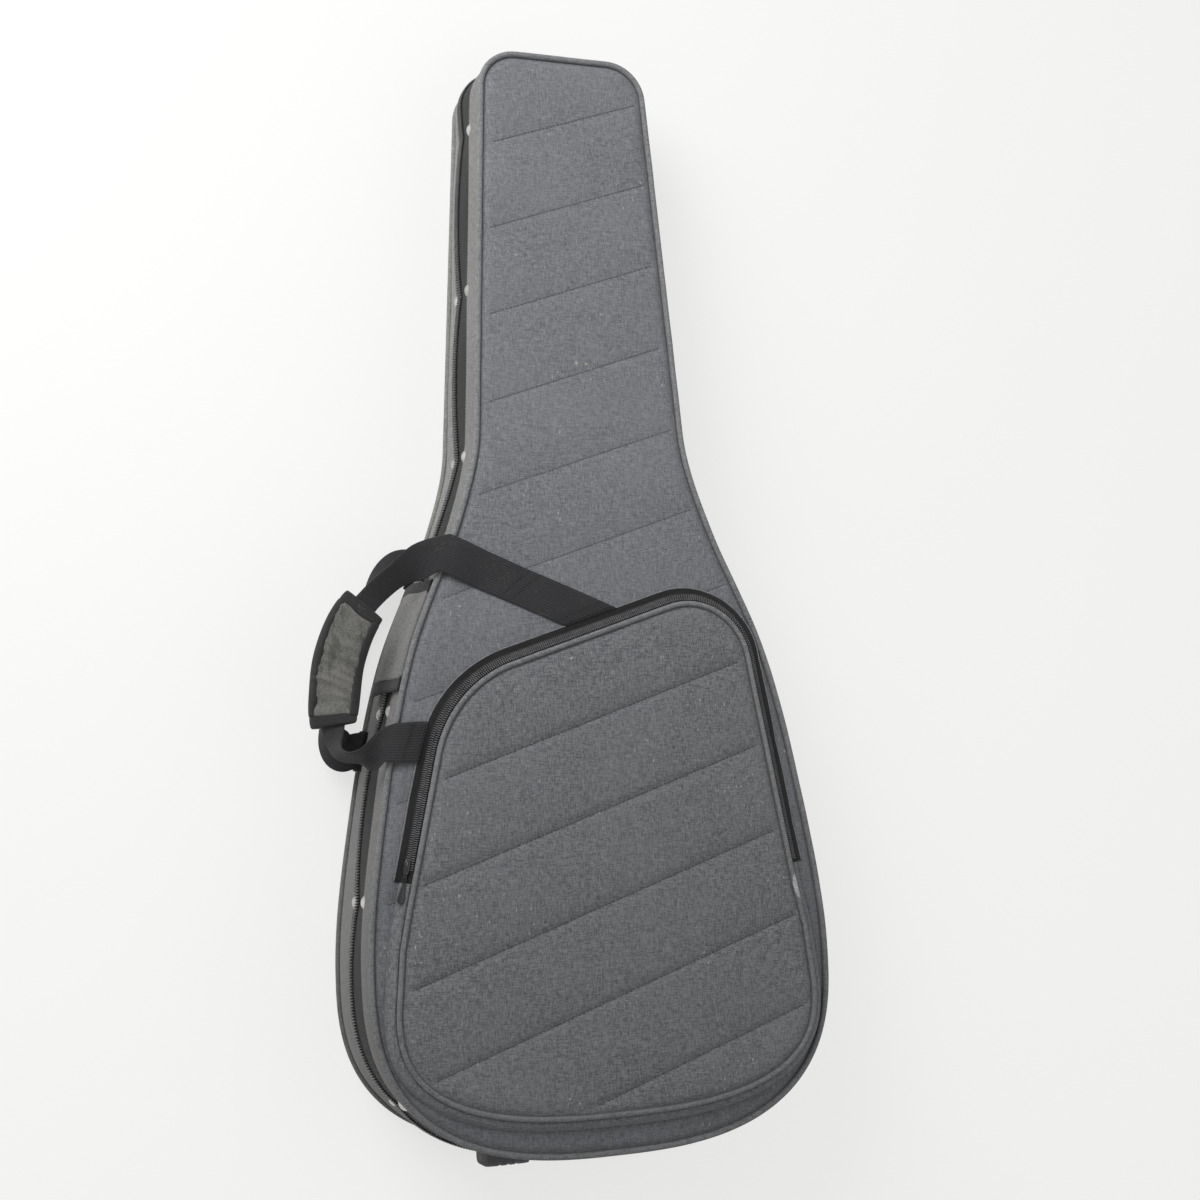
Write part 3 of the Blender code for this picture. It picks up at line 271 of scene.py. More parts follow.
# Feet and inside fittings
FOOT_WIDTH = 0.042
FOOT_SPACING = 0.160
FOOT_REACH = 0.012
FOOT_HEIGHT = 0.046
FOOT_LIFT = 0.018
FOOT_SEAT = 0.0022
FOOT_GROOVE = 0.0012
FOOT_GROOVES = (6, 10, 14)
FOOT_ROWS = 21
CRADLE_ON_CASE = 0.830
CRADLE_LENGTH = 0.070
CRADLE_HEIGHT = 0.022
CRADLE_PLAY = 0.0020
CRADLE_SHOULDER = 0.008
CRADLE_SHOULDER_DROP = 0.006
CRADLE_EDGE_DROP = 0.005
NECK_SLOT_WIDTH = 0.062
NECK_SLOT_DEPTH = 0.010
NECK_STRAP_WIDTH = 0.025
NECK_STRAP_INSET = 0.012
NECK_STRAP_LIFT = 0.0055

# Camera, found from the outline of the case in the photograph, in the case frame
CAMERA_PLACE = (-0.6039, -0.2671, 1.6996)
CAMERA_RIGHT = (0.93724, -0.05306, 0.34463)
CAMERA_DOWN = (-0.0004, -0.98852, -0.15109)
CAMERA_FORWARD = (0.34869, 0.14146, -0.9265)
LENS = 54.0
SENSOR = 36.0

# Floor and light: a lamp has a place in the world, a size and a power
KEY = ((-1.2, 1.2, 1.25), 1.2, 30.0)
FILL = ((1.4, -0.3, 2.2), 2.0, 6.0)
WORLD_LIGHT = 0.42
WORLD_SEEN = 0.93
FLOOR_GLOW = 0.67
FLOOR_TONES = ((0.89, 0.89, 0.87), (0.93, 0.93, 0.915))
FLOOR_REACH = 6.0
LAMP_AIM = (0.0, 0.15, 0.1)

# Fineness of the meshes
RUN_STEP = 0.004
PANEL_STEP = 0.007
PANEL_ROW_STEP = 0.0125
PANEL_ROW_GAP = 0.013
PANEL_EDGE_STEP = 0.005
PANEL_EDGE_GAP = 0.0022
TAIL_STEPS = 48
SIDE_STEPS = 140
FILLET_STEPS = 24
NORMAL_REACH = 0.003
RIPPLE_WAVES = 7
RIPPLE_STRETCH = (0.6, 1.7)
RIPPLE_GAIN = 1.6

# Tones and grain of the cloths
YARN_SCALES = ((900, 150, 900), (160, 900, 200))
LINT = (0.46, 0.45, 0.42)
DUST = (0.16, 0.16, 0.15)
# Painted shade towards the tail: the Y where it starts and the Y where it is full
TAIL_SHADE_REACH = (0.10, -0.42)

UP = (0.0, 0.0, 1.0)

Shape = namedtuple("Shape", "verts faces uvs")


# Frames

def back_z(y):
    """Height of the flat back under a place along the case."""
    return -(BASE_DEPTH_TAIL + (BASE_DEPTH_HEAD - BASE_DEPTH_TAIL) * (y / LENGTH + 0.5))


def along_case(height):
    """Y of a height measured from the tail end."""
    return height - LENGTH / 2


TILT = math.atan2(BASE_DEPTH_TAIL - BASE_DEPTH_HEAD, LENGTH)
LYING = Matrix.Rotation(-TILT, 4, "X") @ Matrix.Translation((0, 0, -back_z(0)))
LYING_ARRAY = np.array(LYING)


def lay(points):
    """Points of the case frame, in the world."""
    return np.asarray(points, float) @ LYING_ARRAY[:3, :3].T + LYING_ARRAY[:3, 3]


def ease(t):
    t = np.clip(t, 0.0, 1.0)
    return t * t * (3 - 2 * t)


def unit(vectors):
    return vectors / np.linalg.norm(vectors, axis=-1, keepdims=True)


def lengths(points):
    """Length along a line to each of its points."""
    return np.concatenate([[0.0], np.cumsum(np.linalg.norm(np.diff(points, axis=0), axis=-1))])


def walked(want, marks, points):
    """Points at lengths along a line whose own points lie at these marks."""
    return np.stack([np.interp(want, marks, axis) for axis in points.T], axis=-1)


def turns(sides):
    """Even angles right round."""
    return np.arange(sides) * 2 * math.pi / sides


def bent(angles, power, second):
    """Cosines and sines of angles raised to powers, which makes a round section squarer."""
    waves = ((np.cos(angles), power), (np.sin(angles), second))
    return [np.sign(wave) * np.abs(wave) ** p for wave, p in waves]


def ripple(points, size, seed):
    """Soft unevenness from -1 to 1 over points, as a sum of waves about this size."""
    rng = np.random.default_rng(seed)
    total = np.zeros(np.shape(points)[:-1])
    for _ in range(RIPPLE_WAVES):
        direction = unit(rng.normal(size=np.shape(points)[-1]))
        stretch = rng.uniform(*RIPPLE_STRETCH)
        total += np.sin(points @ direction * 2 * math.pi * stretch / size + rng.uniform(0, 2 * math.pi))
    return total / RIPPLE_WAVES * RIPPLE_GAIN


# Outlines

class Outline:
    """A closed loop walked anticlockwise from the middle of the tail, by the length along it."""

    def __init__(self, points):
        self.points = np.array(points + points[:1], float)
        self.marks = lengths(self.points)
        self.length = self.marks[-1]

    def at(self, marks):
        return walked(np.asarray(marks) % self.length, self.marks, self.points)

    def normals(self, marks):
        ahead, behind = (self.at(np.asarray(marks) + side * NORMAL_REACH) for side in (1, -1))
        run = unit(ahead - behind)
        return np.stack([run[..., 1], -run[..., 0]], axis=-1)

    def mark(self, height, side):
        """Length along the loop to a height on the right (1) or left (-1) side."""
        x, y = self.points.T
        over = y - along_case(height)
        hits = np.nonzero((over[:-1] * over[1:] <= 0) & (x[:-1] * side > 0))[0]
        i = hits[0] if side > 0 else hits[-1]
        share = over[i] / (over[i] - over[i + 1])
        return self.marks[i] + share * (self.marks[i + 1] - self.marks[i])

    def round(self, step=RUN_STEP):
        """Marks at even steps right round the loop."""
        count = int(self.length / step)
        return np.arange(count) * self.length / count

    def run(self, start, end, step=RUN_STEP):
        """Marks at even steps from one length along the loop to another, past its start if need be."""
        if end < start:
            end += self.length
        return np.linspace(start, end, max(2, int((end - start) / step) + 1))


def round_end(half_width, low, high):
    """Quarter of a rounded tail, from its middle to its widest point."""
    points = []
    for k in range(TAIL_STEPS + 1):
        a = math.pi / 2 * k / TAIL_STEPS
        points.append((half_width * math.sin(a) ** (2 / TAIL_ROUNDNESS),
                       high - (high - low) * math.cos(a) ** (2 / TAIL_ROUNDNESS)))
    return points


def smooth_sides(stations):
    """Half widths on a smooth curve through (height, half width) stations, straight at the top."""
    slopes = [0.0] + [(b[1] - a[1]) / (b[0] - a[0]) for a, b in zip(stations[:-2], stations[2:])]
    slopes[-1] = (stations[-1][1] - stations[-2][1]) / (stations[-1][0] - stations[-2][0])
    slopes.append(slopes[-1])
    points = []
    for k in range(1, SIDE_STEPS + 1):
        h = stations[0][0] + (stations[-1][0] - stations[0][0]) * k / SIDE_STEPS
        i = max(j for j in range(len(stations) - 1) if stations[j][0] <= h + 1e-9)
        (h0, w0), (h1, w1) = stations[i], stations[i + 1]
        span = h1 - h0
        t = (h - h0) / span
        points.append((w0 * (2 * t**3 - 3 * t**2 + 1) + slopes[i] * span * (t**3 - 2 * t**2 + t)
                       + w1 * (3 * t**2 - 2 * t**3) + slopes[i + 1] * span * (t**3 - t**2), h))
    return points


def fillet(before, corner, after, radius):
    """Points of an arc that rounds the corner of two straight runs."""
    before, corner, after = Vector(before), Vector(corner), Vector(after)
    into, out_of = (corner - before).normalized(), (after - corner).normalized()
    turn = into.angle(out_of)
    start = corner - into * radius * math.tan(turn / 2)
    side = Vector((-into.y, into.x))
    arm = -side * radius
    centre = start + side * radius
    points = []
    for k in range(FILLET_STEPS + 1):
        a = turn * k / FILLET_STEPS
        points.append((centre.x + arm.x * math.cos(a) - arm.y * math.sin(a),
                       centre.y + arm.x * math.sin(a) + arm.y * math.cos(a)))
    return points


def in_case(points):
    return [(x, along_case(h)) for x, h in points]


def case_outline():
    half = round_end(BOUT[1], 0.0, BOUT[0])
    half += smooth_sides([BOUT, FLANK, SHOULDER, THROAT, NECK,
                          (LENGTH - HEAD_CORNER_RADIUS, HEAD_HALF_WIDTH)])
    for k in range(1, 17):
        a = math.pi / 2 * k / 16
        half.append((HEAD_HALF_WIDTH - HEAD_CORNER_RADIUS * (1 - math.cos(a)),
                     LENGTH - HEAD_CORNER_RADIUS * (1 - math.sin(a))))
    return Outline(in_case(half + [(-x, h) for x, h in reversed(half) if x > 1e-9]))


def pocket_outline():
    """Round tail, leaning sides and a top edge that rises to the right."""
    tail = round_end(POCKET_WIDEST[1], POCKET_BOTTOM, POCKET_WIDEST[0])
    right_foot = (POCKET_SIDE[1], POCKET_SIDE[0])
    left_foot = (-POCKET_SIDE[1], POCKET_SIDE[0])
    middle = (POCKET_SIDE[1] + (POCKET_WIDEST[1] - POCKET_SIDE[1]) * POCKET_EASE,
              POCKET_WIDEST[0] + (POCKET_SIDE[0] - POCKET_WIDEST[0]) * POCKET_EASE)
    loop = tail + [middle, right_foot]
    loop += fillet(right_foot, POCKET_RIGHT_CORNER, POCKET_LEFT_CORNER, POCKET_RIGHT_RADIUS)
    loop += fillet(POCKET_RIGHT_CORNER, POCKET_LEFT_CORNER, left_foot, POCKET_LEFT_RADIUS)
    loop += [left_foot, (-middle[0], middle[1])]
    loop += [(-x, h) for x, h in reversed(tail) if x > 1e-9]
    return Outline(in_case(loop))


CASE = case_outline()
POCKET = pocket_outline()


def left_side(height):
    """Point and outward direction of the case's left edge at a height."""
    mark = CASE.mark(height, -1)
    return np.append(CASE.at(mark), 0.0), np.append(CASE.normals(mark), 0.0)


# Shapes

def skin(rows, around=True, closed=False):
    """Faces between rows of points; around closes each row, closed joins the last row to the first."""
    rows = np.asarray(rows, float)
    count, width = rows.shape[:2]
    index = np.arange(count * width).reshape(count, width)
    i = np.arange(count if closed else count - 1)[:, None]
    j = np.arange(width if around else width - 1)[None, :]
    i_next, j_next = (i + 1) % count, (j + 1) % width
    corners = [(i, j), (i, j_next), (i_next, j_next), (i_next, j)]
    faces = np.stack([index[a, b] for a, b in corners], axis=-1).reshape(-1, 4).tolist()
    loop = np.concatenate([rows, rows[:1]])
    u = lengths(loop.mean(axis=1))
    ring = np.concatenate([rows, rows[:, :1]], axis=1)
    v = np.cumsum(np.linalg.norm(np.diff(ring, axis=1), axis=-1), axis=1).mean(axis=0)
    v = np.concatenate([[0.0], v])
    shape = np.broadcast_shapes(i.shape, j.shape)
    us = [np.broadcast_to(u[a], shape) for a in (i, i, i + 1, i + 1)]
    vs = [np.broadcast_to(v[b], shape) for b in (j, j + 1, j + 1, j)]
    uvs = np.stack([np.stack(us, -1), np.stack(vs, -1)], -1).reshape(-1, 2).tolist()
    if around and not closed:
        for row, place in ((index[0][::-1], u[0]), (index[-1], u[count - 1])):
            faces.append(row.tolist())
            uvs += [(place, 0.0)] * width
    return Shape(rows.reshape(-1, 3), faces, uvs)


def join(shapes):
    verts, faces, uvs, base = [], [], [], 0
    for shape in shapes:
        verts.append(np.asarray(shape.verts))
        faces += [[base + i for i in face] for face in shape.faces]
        uvs += shape.uvs
        base += len(shape.verts)
    return Shape(np.concatenate(verts), faces, uvs)


def carried(outline, marks, profile):
    """Rows of a profile of (out, z) points along an outline, or of one profile for each row."""
    profile = np.asarray(profile, float)
    if profile.ndim == 2:
        profile = np.broadcast_to(profile, (len(marks),) + profile.shape)
    points, normals = outline.at(marks), outline.normals(marks)
    flat = points[:, None, :] + normals[:, None, :] * profile[..., :1]
    return np.concatenate([flat, profile[..., 1:]], axis=-1)


def on_slope(rows):
    """Rows whose Z is measured from the flat back, in the case frame."""
    rows = rows.copy()
    rows[..., 2] += back_z(rows[..., 1])
    return rows


def tube_profile(out, z, radius, sides=14):
    a = turns(sides)
    return np.stack([out + radius * np.cos(a), z + radius * np.sin(a)], axis=-1)


def rounded(width, thickness):
    """Profile of a flat strip with rounded edges, standing on its lower face."""
    c, s = bent(turns(20), 0.4, 0.4)
    return np.stack([width / 2 * c, thickness / 2 * (1 + s)], axis=-1)


def scatter(template, places, *ways):
    """Copies of a small shape at many places, with three directions for each place or for all."""
    places, verts = np.asarray(places), np.asarray(template.verts, float)
    spread = places[:, None]
    for k, way in enumerate(ways):
        spread = spread + verts[None, :, k:k + 1] * np.broadcast_to(way, places.shape)[:, None]
    count = len(verts)
    faces = [[base * count + i for i in face] for base in range(len(spread)) for face in template.faces]
    return Shape(spread.reshape(-1, 3), faces, list(template.uvs) * len(spread))


def bead(length, width, height, sides=6):
    """A small thread or tooth lying along X on Z = 0, swelling in the middle."""
    a = turns(sides)
    rows = []
    for place, swell in ((-0.5, 0.45), (-0.3, 0.95), (0.0, 1.0), (0.3, 0.95), (0.5, 0.45)):
        rows.append(np.stack([np.full(sides, place * length), np.cos(a) * width / 2 * swell,
                              (np.sin(a) * swell + 1) * height / 2], axis=-1))
    return skin(rows)


def lump(stations, power=3.0):
    """A solid from stations of (place along Y, half width, low, high), with rounded sections."""
    c, s = bent(turns(20), 2 / power, 2 / power)
    rows = []
    for place, half, low, high in stations:
        z = (low + high) / 2 + (high - low) / 2 * s
        rows.append(np.stack([half * c, np.full(len(c), place), z], axis=-1))
    return skin(rows)


def placed(shape, origin, x, y, z):
    """A shape moved to an origin and turned to three directions."""
    turn = np.stack([np.asarray(way, float) for way in (x, y, z)])
    return Shape(np.asarray(shape.verts) @ turn + np.asarray(origin, float), shape.faces, shape.uvs)


def added(name, data):
    """A new object in the scene."""
    made = bpy.data.objects.new(name, data)
    bpy.context.scene.collection.objects.link(made)
    return made


def piece(name, shape, material, body, stands_for=(), sharp=None):
    """A finished object from a shape in the case frame, parented to its body, or left unparented in the
    world when given two bodies.
    """
    mesh = bpy.data.meshes.new(name)
    mesh.from_pydata(lay(shape.verts).tolist(), [], shape.faces)
    layer = mesh.uv_layers.new(name="Along")
    layer.data.foreach_set("uv", np.asarray(shape.uvs, np.float32).ravel())
    work = bmesh.new()
    work.from_mesh(mesh)
    bmesh.ops.recalc_face_normals(work, faces=work.faces)
    work.to_mesh(mesh)
    work.free()
    mesh.shade_smooth()
    if sharp:
        mesh.set_sharp_from_angle(angle=math.radians(sharp))
    mesh.materials.append(material)
    made = added(name, mesh)
    if isinstance(body, str):
        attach(made, body)
    else:
        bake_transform(made)
    if stands_for:
        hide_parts(*stands_for)
    return made


# Materials

class Paint:
    """The node tree of a material or a world, and the steps that are put into it."""

    def __init__(self, owner):
        self.tree = owner.node_tree

    def link(self, source, target):
        self.tree.links.new(source, target)

    def node(self, kind, sockets=None, **settings):
        made = self.tree.nodes.new(kind)
        for key, value in settings.items():
            setattr(made, key, value)
        for socket, value in (sockets or {}).items():
            if isinstance(value, bpy.types.NodeSocket):
                self.link(value, made.inputs[socket])
            else:
                made.inputs[socket].default_value = value
        return made

    def place(self):
        """An object's own coordinates, in metres."""
        return self.node("ShaderNodeTexCoord").outputs["Object"]

    def noise(self, scale, detail=1.0, roughness=0.5):
        """Noise over an object's own coordinates, with a scale for each axis or one for all three."""
        scales = scale if isinstance(scale, tuple) else (scale,) * 3
        vector = self.node("ShaderNodeMapping", {"Vector": self.place(), "Scale": scales}).outputs[0]
        sockets = {"Vector": vector, "Scale": 1.0, "Detail": detail, "Roughness": roughness}
        return self.node("ShaderNodeTexNoise", sockets).outputs["Fac"]

    def maths(self, operation, a, b=0.0):
        return self.node("ShaderNodeMath", {0: a, 1: b}, operation=operation).outputs[0]

    def plus(self, a, b):
        return self.maths("ADD", a, b)

    def times(self, a, b):
        return self.maths("MULTIPLY", a, b)

    def ranged(self, value, low, high, to_low=0.0, to_high=1.0):
        sockets = {"Value": value, "From Min": low, "From Max": high,
                   "To Min": to_low, "To Max": to_high}
        return self.node("ShaderNodeMapRange", sockets).outputs[0]

    def mix(self, share, first, second):
        """A mix of two colours, each a tone or a socket."""
        first, second = ((*tone, 1.0) if isinstance(tone, tuple) else tone for tone in (first, second))
        return self.node("ShaderNodeMix", {0: share, 6: first, 7: second}, data_type="RGBA").outputs[2]

    def seen_directly(self):
        """1 where the eye, a gloss or a clear body sees the background, 0 where it only gives light."""
        path = self.node("ShaderNodeLightPath").outputs
        seen = self.maths("MAXIMUM", path["Is Camera Ray"], path["Is Glossy Ray"])
        return self.maths("MAXIMUM", seen, path["Is Transmission Ray"])


class Surface(Paint):
    """A new material with its main shader."""

    def __init__(self, name, **sockets):
        self.material = bpy.data.materials.new(name)
        self.material.use_nodes = True
        super().__init__(self.material)
        self.shader = self.tree.nodes["Principled BSDF"]
        for socket, value in sockets.items():
            self.shader.inputs[socket.replace("_", " ")].default_value = value

    def finish(self, colour, roughness, height, strength, distance):
        """The material, with its shader joined to a colour, a roughness and a relief."""
        sockets = {"Height": height, "Strength": strength, "Distance": distance}
        bump = self.node("ShaderNodeBump", sockets).outputs[0]
        for socket, source in (("Base Color", colour), ("Roughness", roughness), ("Normal", bump)):
            self.link(source, self.shader.inputs[socket])
        return self.material


def melange_cloth(name, dark, light, worn=0.25, specks=True, tail_shade=0.0):
    """Woven cloth of dark and pale yarns, clouds of wear, specks of lint and painted shade towards the
    tail.
    """
    paint = Surface(name, Roughness=0.92, Specular_IOR_Level=0.22, Sheen_Weight=0.12,
                    Sheen_Roughness=0.5)
    warp, weft = (paint.noise(scales, 2.0, 0.6) for scales in YARN_SCALES)
    yarn = paint.plus(paint.plus(warp, weft), paint.times(paint.noise(1000), 0.6))
    colour = paint.mix(paint.ranged(yarn, 1.0, 1.6), dark, light)
    clouds = paint.ranged(paint.noise(9, 3.0), 0.38, 0.72, 0.0, worn)
    faded = tuple(min(1.0, 1.35 * (a + b) / 2) for a, b in zip(dark, light))
    colour = paint.mix(clouds, colour, faded)
    if specks:
        spots = paint.ranged(paint.noise((420, 210, 420), 0.0), 0.77, 0.82)
        bloom = paint.ranged(paint.noise(15), 0.50, 0.64, 0.05, 0.8)
        colour = paint.mix(paint.times(spots, bloom), colour, LINT)
    # Painted shade: the colour darkens towards the tail end, standing in for the light falling off
    # there
    if tail_shade:
        height = paint.node("ShaderNodeSeparateXYZ", {"Vector": paint.place()}).outputs[1]
        painted_tail_shade = paint.ranged(height, *TAIL_SHADE_REACH, 0.0, tail_shade)
        colour = paint.mix(painted_tail_shade, colour, tuple(v * 0.2 for v in dark))
    return paint.finish(colour, paint.ranged(yarn, 0.9, 1.7, 0.86, 0.97), yarn, 0.35, 0.0008)


def ribbed_webbing(name, dark, light, pitch=0.0021, slant=0.9, dust=0.35):
    """Woven black webbing: ribs along it, slanting picks across it, and a little dust."""
    paint = Surface(name, Roughness=0.75, Specular_IOR_Level=0.3, Sheen_Weight=0.1,
                    Sheen_Roughness=0.5)
    along = paint.node("ShaderNodeTexCoord").outputs["UV"]
    u, v, _ = paint.node("ShaderNodeSeparateXYZ", {"Vector": along}).outputs
    turn = 2 * math.pi / pitch
    ribs = paint.maths("SINE", paint.times(v, turn))
    lean = paint.plus(u, paint.times(v, slant))
    picks = paint.maths("SINE", paint.times(lean, turn * 1.35))
    weave = paint.plus(paint.times(ribs, 0.6), paint.times(picks, 0.4))
    colour = paint.mix(paint.ranged(weave, -1.0, 1.0), dark, light)
    fuzz = paint.noise(260, 3.0, 0.7)
    patches = paint.ranged(paint.noise(30, 2.0), 0.42, 0.7, 0.0, dust)
    colour = paint.mix(paint.times(paint.ranged(fuzz, 0.5, 0.8), patches), colour, DUST)
    return paint.finish(colour, paint.ranged(fuzz, 0.3, 0.7, 0.66, 0.88), weave, 0.5, 0.0006)


def worn_grip(name):
    """Soft grip cloth rubbed pale on its crests, with fine creases darkened by painted shade."""
    paint = Surface(name, Roughness=0.95, Specular_IOR_Level=0.18, Sheen_Weight=0.2,
                    Sheen_Roughness=0.6)
    yarn = paint.noise(620, 2.0, 0.6)
    rub = paint.noise(42, 4.0, 0.65)
    crease = paint.noise((120, 34, 120), 3.0, 0.7)
    colour = paint.mix(paint.ranged(yarn, 0.35, 0.65), (0.085, 0.085, 0.078), (0.165, 0.162, 0.150))
    colour = paint.mix(paint.ranged(rub, 0.45, 0.75, 0.0, 0.6), colour, (0.225, 0.221, 0.205))
    # Painted shade: the colour darkens to near black along the low lines of the crease noise, where the
    # bump sinks
    colour = paint.mix(paint.ranged(crease, 0.36, 0.46, 0.55, 0.0), colour, (0.045, 0.045, 0.042))
    relief = paint.plus(crease, paint.times(yarn, 0.4))
    return paint.finish(colour, paint.ranged(rub, 0.3, 0.7, 0.88, 0.98), relief, 0.6, 0.0014)


def plush(name, dark, light):
    """Short brushed pile inside the case, with strokes where it has been pressed."""
    paint = Surface(name, Roughness=1.0, Specular_IOR_Level=0.1, Sheen_Weight=0.45,
                    Sheen_Roughness=0.35)
    pile = paint.noise(480, 3.0, 0.7)
    strokes = paint.noise((22, 11, 22), 3.0)
    tone = paint.plus(paint.times(pile, 0.5), paint.times(strokes, 0.5))
    colour = paint.mix(paint.ranged(tone, 0.38, 0.64), dark, light)
    return paint.finish(colour, paint.ranged(strokes, 0.3, 0.7, 0.9, 1.0), pile, 0.5, 0.0012)


def hard_finish(name, colour, second, roughness, metallic, grain, bump=0.08):
    """Enamel, plated steel, nylon, rubber or thread: two tones, uneven gloss and a faint grain."""
    paint = Surface(name, Metallic=metallic, Roughness=roughness)
    fine = paint.noise(grain, 3.0, 0.6)
    broad = paint.noise(grain * 0.12, 2.0)
    tone = paint.mix(paint.ranged(broad, 0.35, 0.68), colour, second)
    gloss = paint.ranged(fine, 0.3, 0.7, roughness * 0.75, min(1.0, roughness * 1.35))
    return paint.finish(tone, gloss, fine, bump, 0.0004)


# Each cloth's painted shade share below darkens it towards the tail; the piping cloth's is its last
# number
FRONT_CLOTH = melange_cloth("front_cloth", (0.105, 0.111, 0.120), (0.262, 0.271, 0.285), tail_shade=0.34)
# The pocket cloth is the front cloth made darker: painted shade for the dimmer light over the pocket
POCKET_CLOTH = melange_cloth("pocket_cloth", (0.074, 0.079, 0.084), (0.246, 0.255, 0.264),
                             tail_shade=0.14)
SIDE_CLOTH = melange_cloth("side_cloth", (0.113, 0.112, 0.108), (0.265, 0.262, 0.254), tail_shade=0.42)
BASE_CLOTH = melange_cloth("base_cloth", (0.155, 0.153, 0.147), (0.340, 0.337, 0.326), tail_shade=0.50)
PIPING_CLOTH = melange_cloth("piping_cloth", (0.110, 0.113, 0.116), (0.290, 0.296, 0.302),
                             0.35, False, 0.30)
RUBBED_CLOTH = melange_cloth("rubbed_cloth", (0.20, 0.21, 0.22), (0.52, 0.54, 0.56), 0.35, False)
BLACK_WEBBING = ribbed_webbing("black_webbing", (0.009, 0.009, 0.010), (0.034, 0.035, 0.038))
ZIP_TAPE = ribbed_webbing("zip_tape", (0.008, 0.008, 0.009), (0.020, 0.020, 0.022),
                          0.0011, 0.0, 0.20)
POCKET_TAPE = ribbed_webbing("pocket_tape", (0.007, 0.007, 0.008), (0.018, 0.018, 0.020),
                             0.0011, 0.0, 0.20)
BINDING_TAPE = ribbed_webbing("binding_tape", (0.010, 0.010, 0.010), (0.034, 0.034, 0.035),
                              0.0012, 0.5, 0.5)
GRIP_CLOTH = worn_grip("grip_cloth")
PLUSH = plush("plush_lining", (0.034, 0.035, 0.038), (0.066, 0.068, 0.073))
COIL_NYLON = hard_finish("coil_nylon", (0.068, 0.068, 0.072), (0.108, 0.108, 0.113), 0.42, 0.0, 900)
ENAMEL = hard_finish("black_enamel", (0.004, 0.004, 0.005), (0.009, 0.009, 0.010),
                     0.20, 0.0, 700, 0.04)
NICKEL = hard_finish("nickel", (0.62, 0.62, 0.60), (0.42, 0.41, 0.39), 0.30, 1.0, 900)
RUBBER = hard_finish("foot_rubber", (0.060, 0.061, 0.066), (0.082, 0.083, 0.089),
                     0.72, 0.0, 1400, 0.25)
THREAD = hard_finish("thread", (0.058, 0.060, 0.064), (0.088, 0.091, 0.096), 0.85, 0.0, 2200, 0.3)
PALE_THREAD = hard_finish("pale_thread", (0.140, 0.144, 0.152), (0.180, 0.185, 0.194),
                          0.85, 0.0, 2200, 0.3)
BLACK_THREAD = hard_finish("black_thread", (0.016, 0.016, 0.017), (0.034, 0.034, 0.035),
                           0.8, 0.0, 2200, 0.3)


# Quilted panels

def quilt_marks(quilt):
    start, pitch, first, last, _ = quilt
    return np.array([along_case(start + pitch * k) for k in range(first, last)])


def quilt_height(points, quilt):
    """Rise of a quilted surface over its plane: soft crowns between thin sewn grooves."""
    offset = points[..., 1] - QUILT_SLOPE * points[..., 0]
    gap = np.abs(offset[..., None] - quilt_marks(quilt)).min(axis=-1) / math.hypot(1, QUILT_SLOPE)
    crown = QUILT_CROWN * (1 - np.exp(-(gap / CROWN_REACH) ** 2))
    groove = quilt[-1] * np.exp(-(gap / GROOVE_REACH) ** 2)
    return crown - groove + UNEVENNESS * ripple(points[..., :2], UNEVEN_SIZE, 3)


def inside(points, loop):
    """Which points lie inside a closed loop."""
    x, y = points[:, :1], points[:, 1:2]
    x0, y0 = loop[:, 0][None], loop[:, 1][None]
    x1, y1 = np.roll(loop[:, 0], -1)[None], np.roll(loop[:, 1], -1)[None]
    spans = (y0 > y) != (y1 > y)
    with np.errstate(divide="ignore", invalid="ignore"):
        crossing = x < (x1 - x0) * (y - y0) / (y1 - y0) + x0
    return (spans & crossing).sum(axis=1) % 2 == 1


def loop_gap(points, loop):
    """Distance from each point to the nearest corner of a loop."""
    return np.linalg.norm(points[:, None] - loop[None], axis=-1).min(axis=1)


def in_blocks(test, points):
    """A test of many points, made a block at a time to keep its arrays small."""
    return np.concatenate([test(block) for block in np.array_split(points, 24)])


def quilted_panel(outline, set_in, quilt, top, bottom, edge_drop, flip=1.0):
    """A closed panel whose outer face is quilted and rolls down to the seam at its edge."""
    marks = outline.round(PANEL_EDGE_STEP)
    edge, normal = outline.at(marks), outline.normals(marks)
    rings = [edge - normal * (set_in + depth) for depth in RIM_RINGS]
    low, high = edge.min(axis=0), edge.max(axis=0)
    lines = quilt_marks(quilt)
    reach = QUILT_SLOPE * max(abs(low[0]), abs(high[0]))
    rows = np.arange(low[1] - reach, high[1] + reach, PANEL_ROW_STEP)
    offsets = {row for row in rows if np.abs(lines - row).min() > PANEL_ROW_GAP}
    for line in lines:
        offsets |= {line + side * d for d in (0.0, *GROOVE_ROWS) for side in (-1, 1)}
    across = np.arange(low[0], high[0], PANEL_STEP)
    grid = np.array([(x, o + QUILT_SLOPE * x) for o in sorted(offsets) for x in across])
    kept = in_blocks(lambda p: inside(p, rings[-1]) & (loop_gap(p, rings[-1]) > PANEL_EDGE_GAP), grid)
    points = np.concatenate(rings + [grid[kept]])
    count = len(marks)
    border = [(i, (i + 1) % count) for i in range(count)]
    flat, _, faces, origins = delaunay_2d_cdt([Vector(p) for p in points], border, [], 1, 1e-7)[:4]
    flat = np.array([tuple(v) for v in flat])
    rim = 1 - ease(in_blocks(lambda p: loop_gap(p, rings[0]), flat) / RIM_WIDTH)
    height = top + flip * (quilt_height(flat, quilt) * (1 - rim) - edge_drop * rim**1.5)
    new_index = {old: new for new, olds in enumerate(origins) for old in olds}
    ring = [new_index[i] for i in range(count)]
    lower = np.column_stack([flat[ring], np.full(count, bottom)])
    base = len(flat)
    faces = [list(face) for face in faces]
    faces += [[ring[i], base + i, base + k, ring[k]] for i, k in border]
    faces.append([base + i for i in range(count)])
    uvs = [(0.0, 0.0)] * sum(len(face) for face in faces)
    return Shape(np.concatenate([np.column_stack([flat, height]), lower]), faces, uvs)


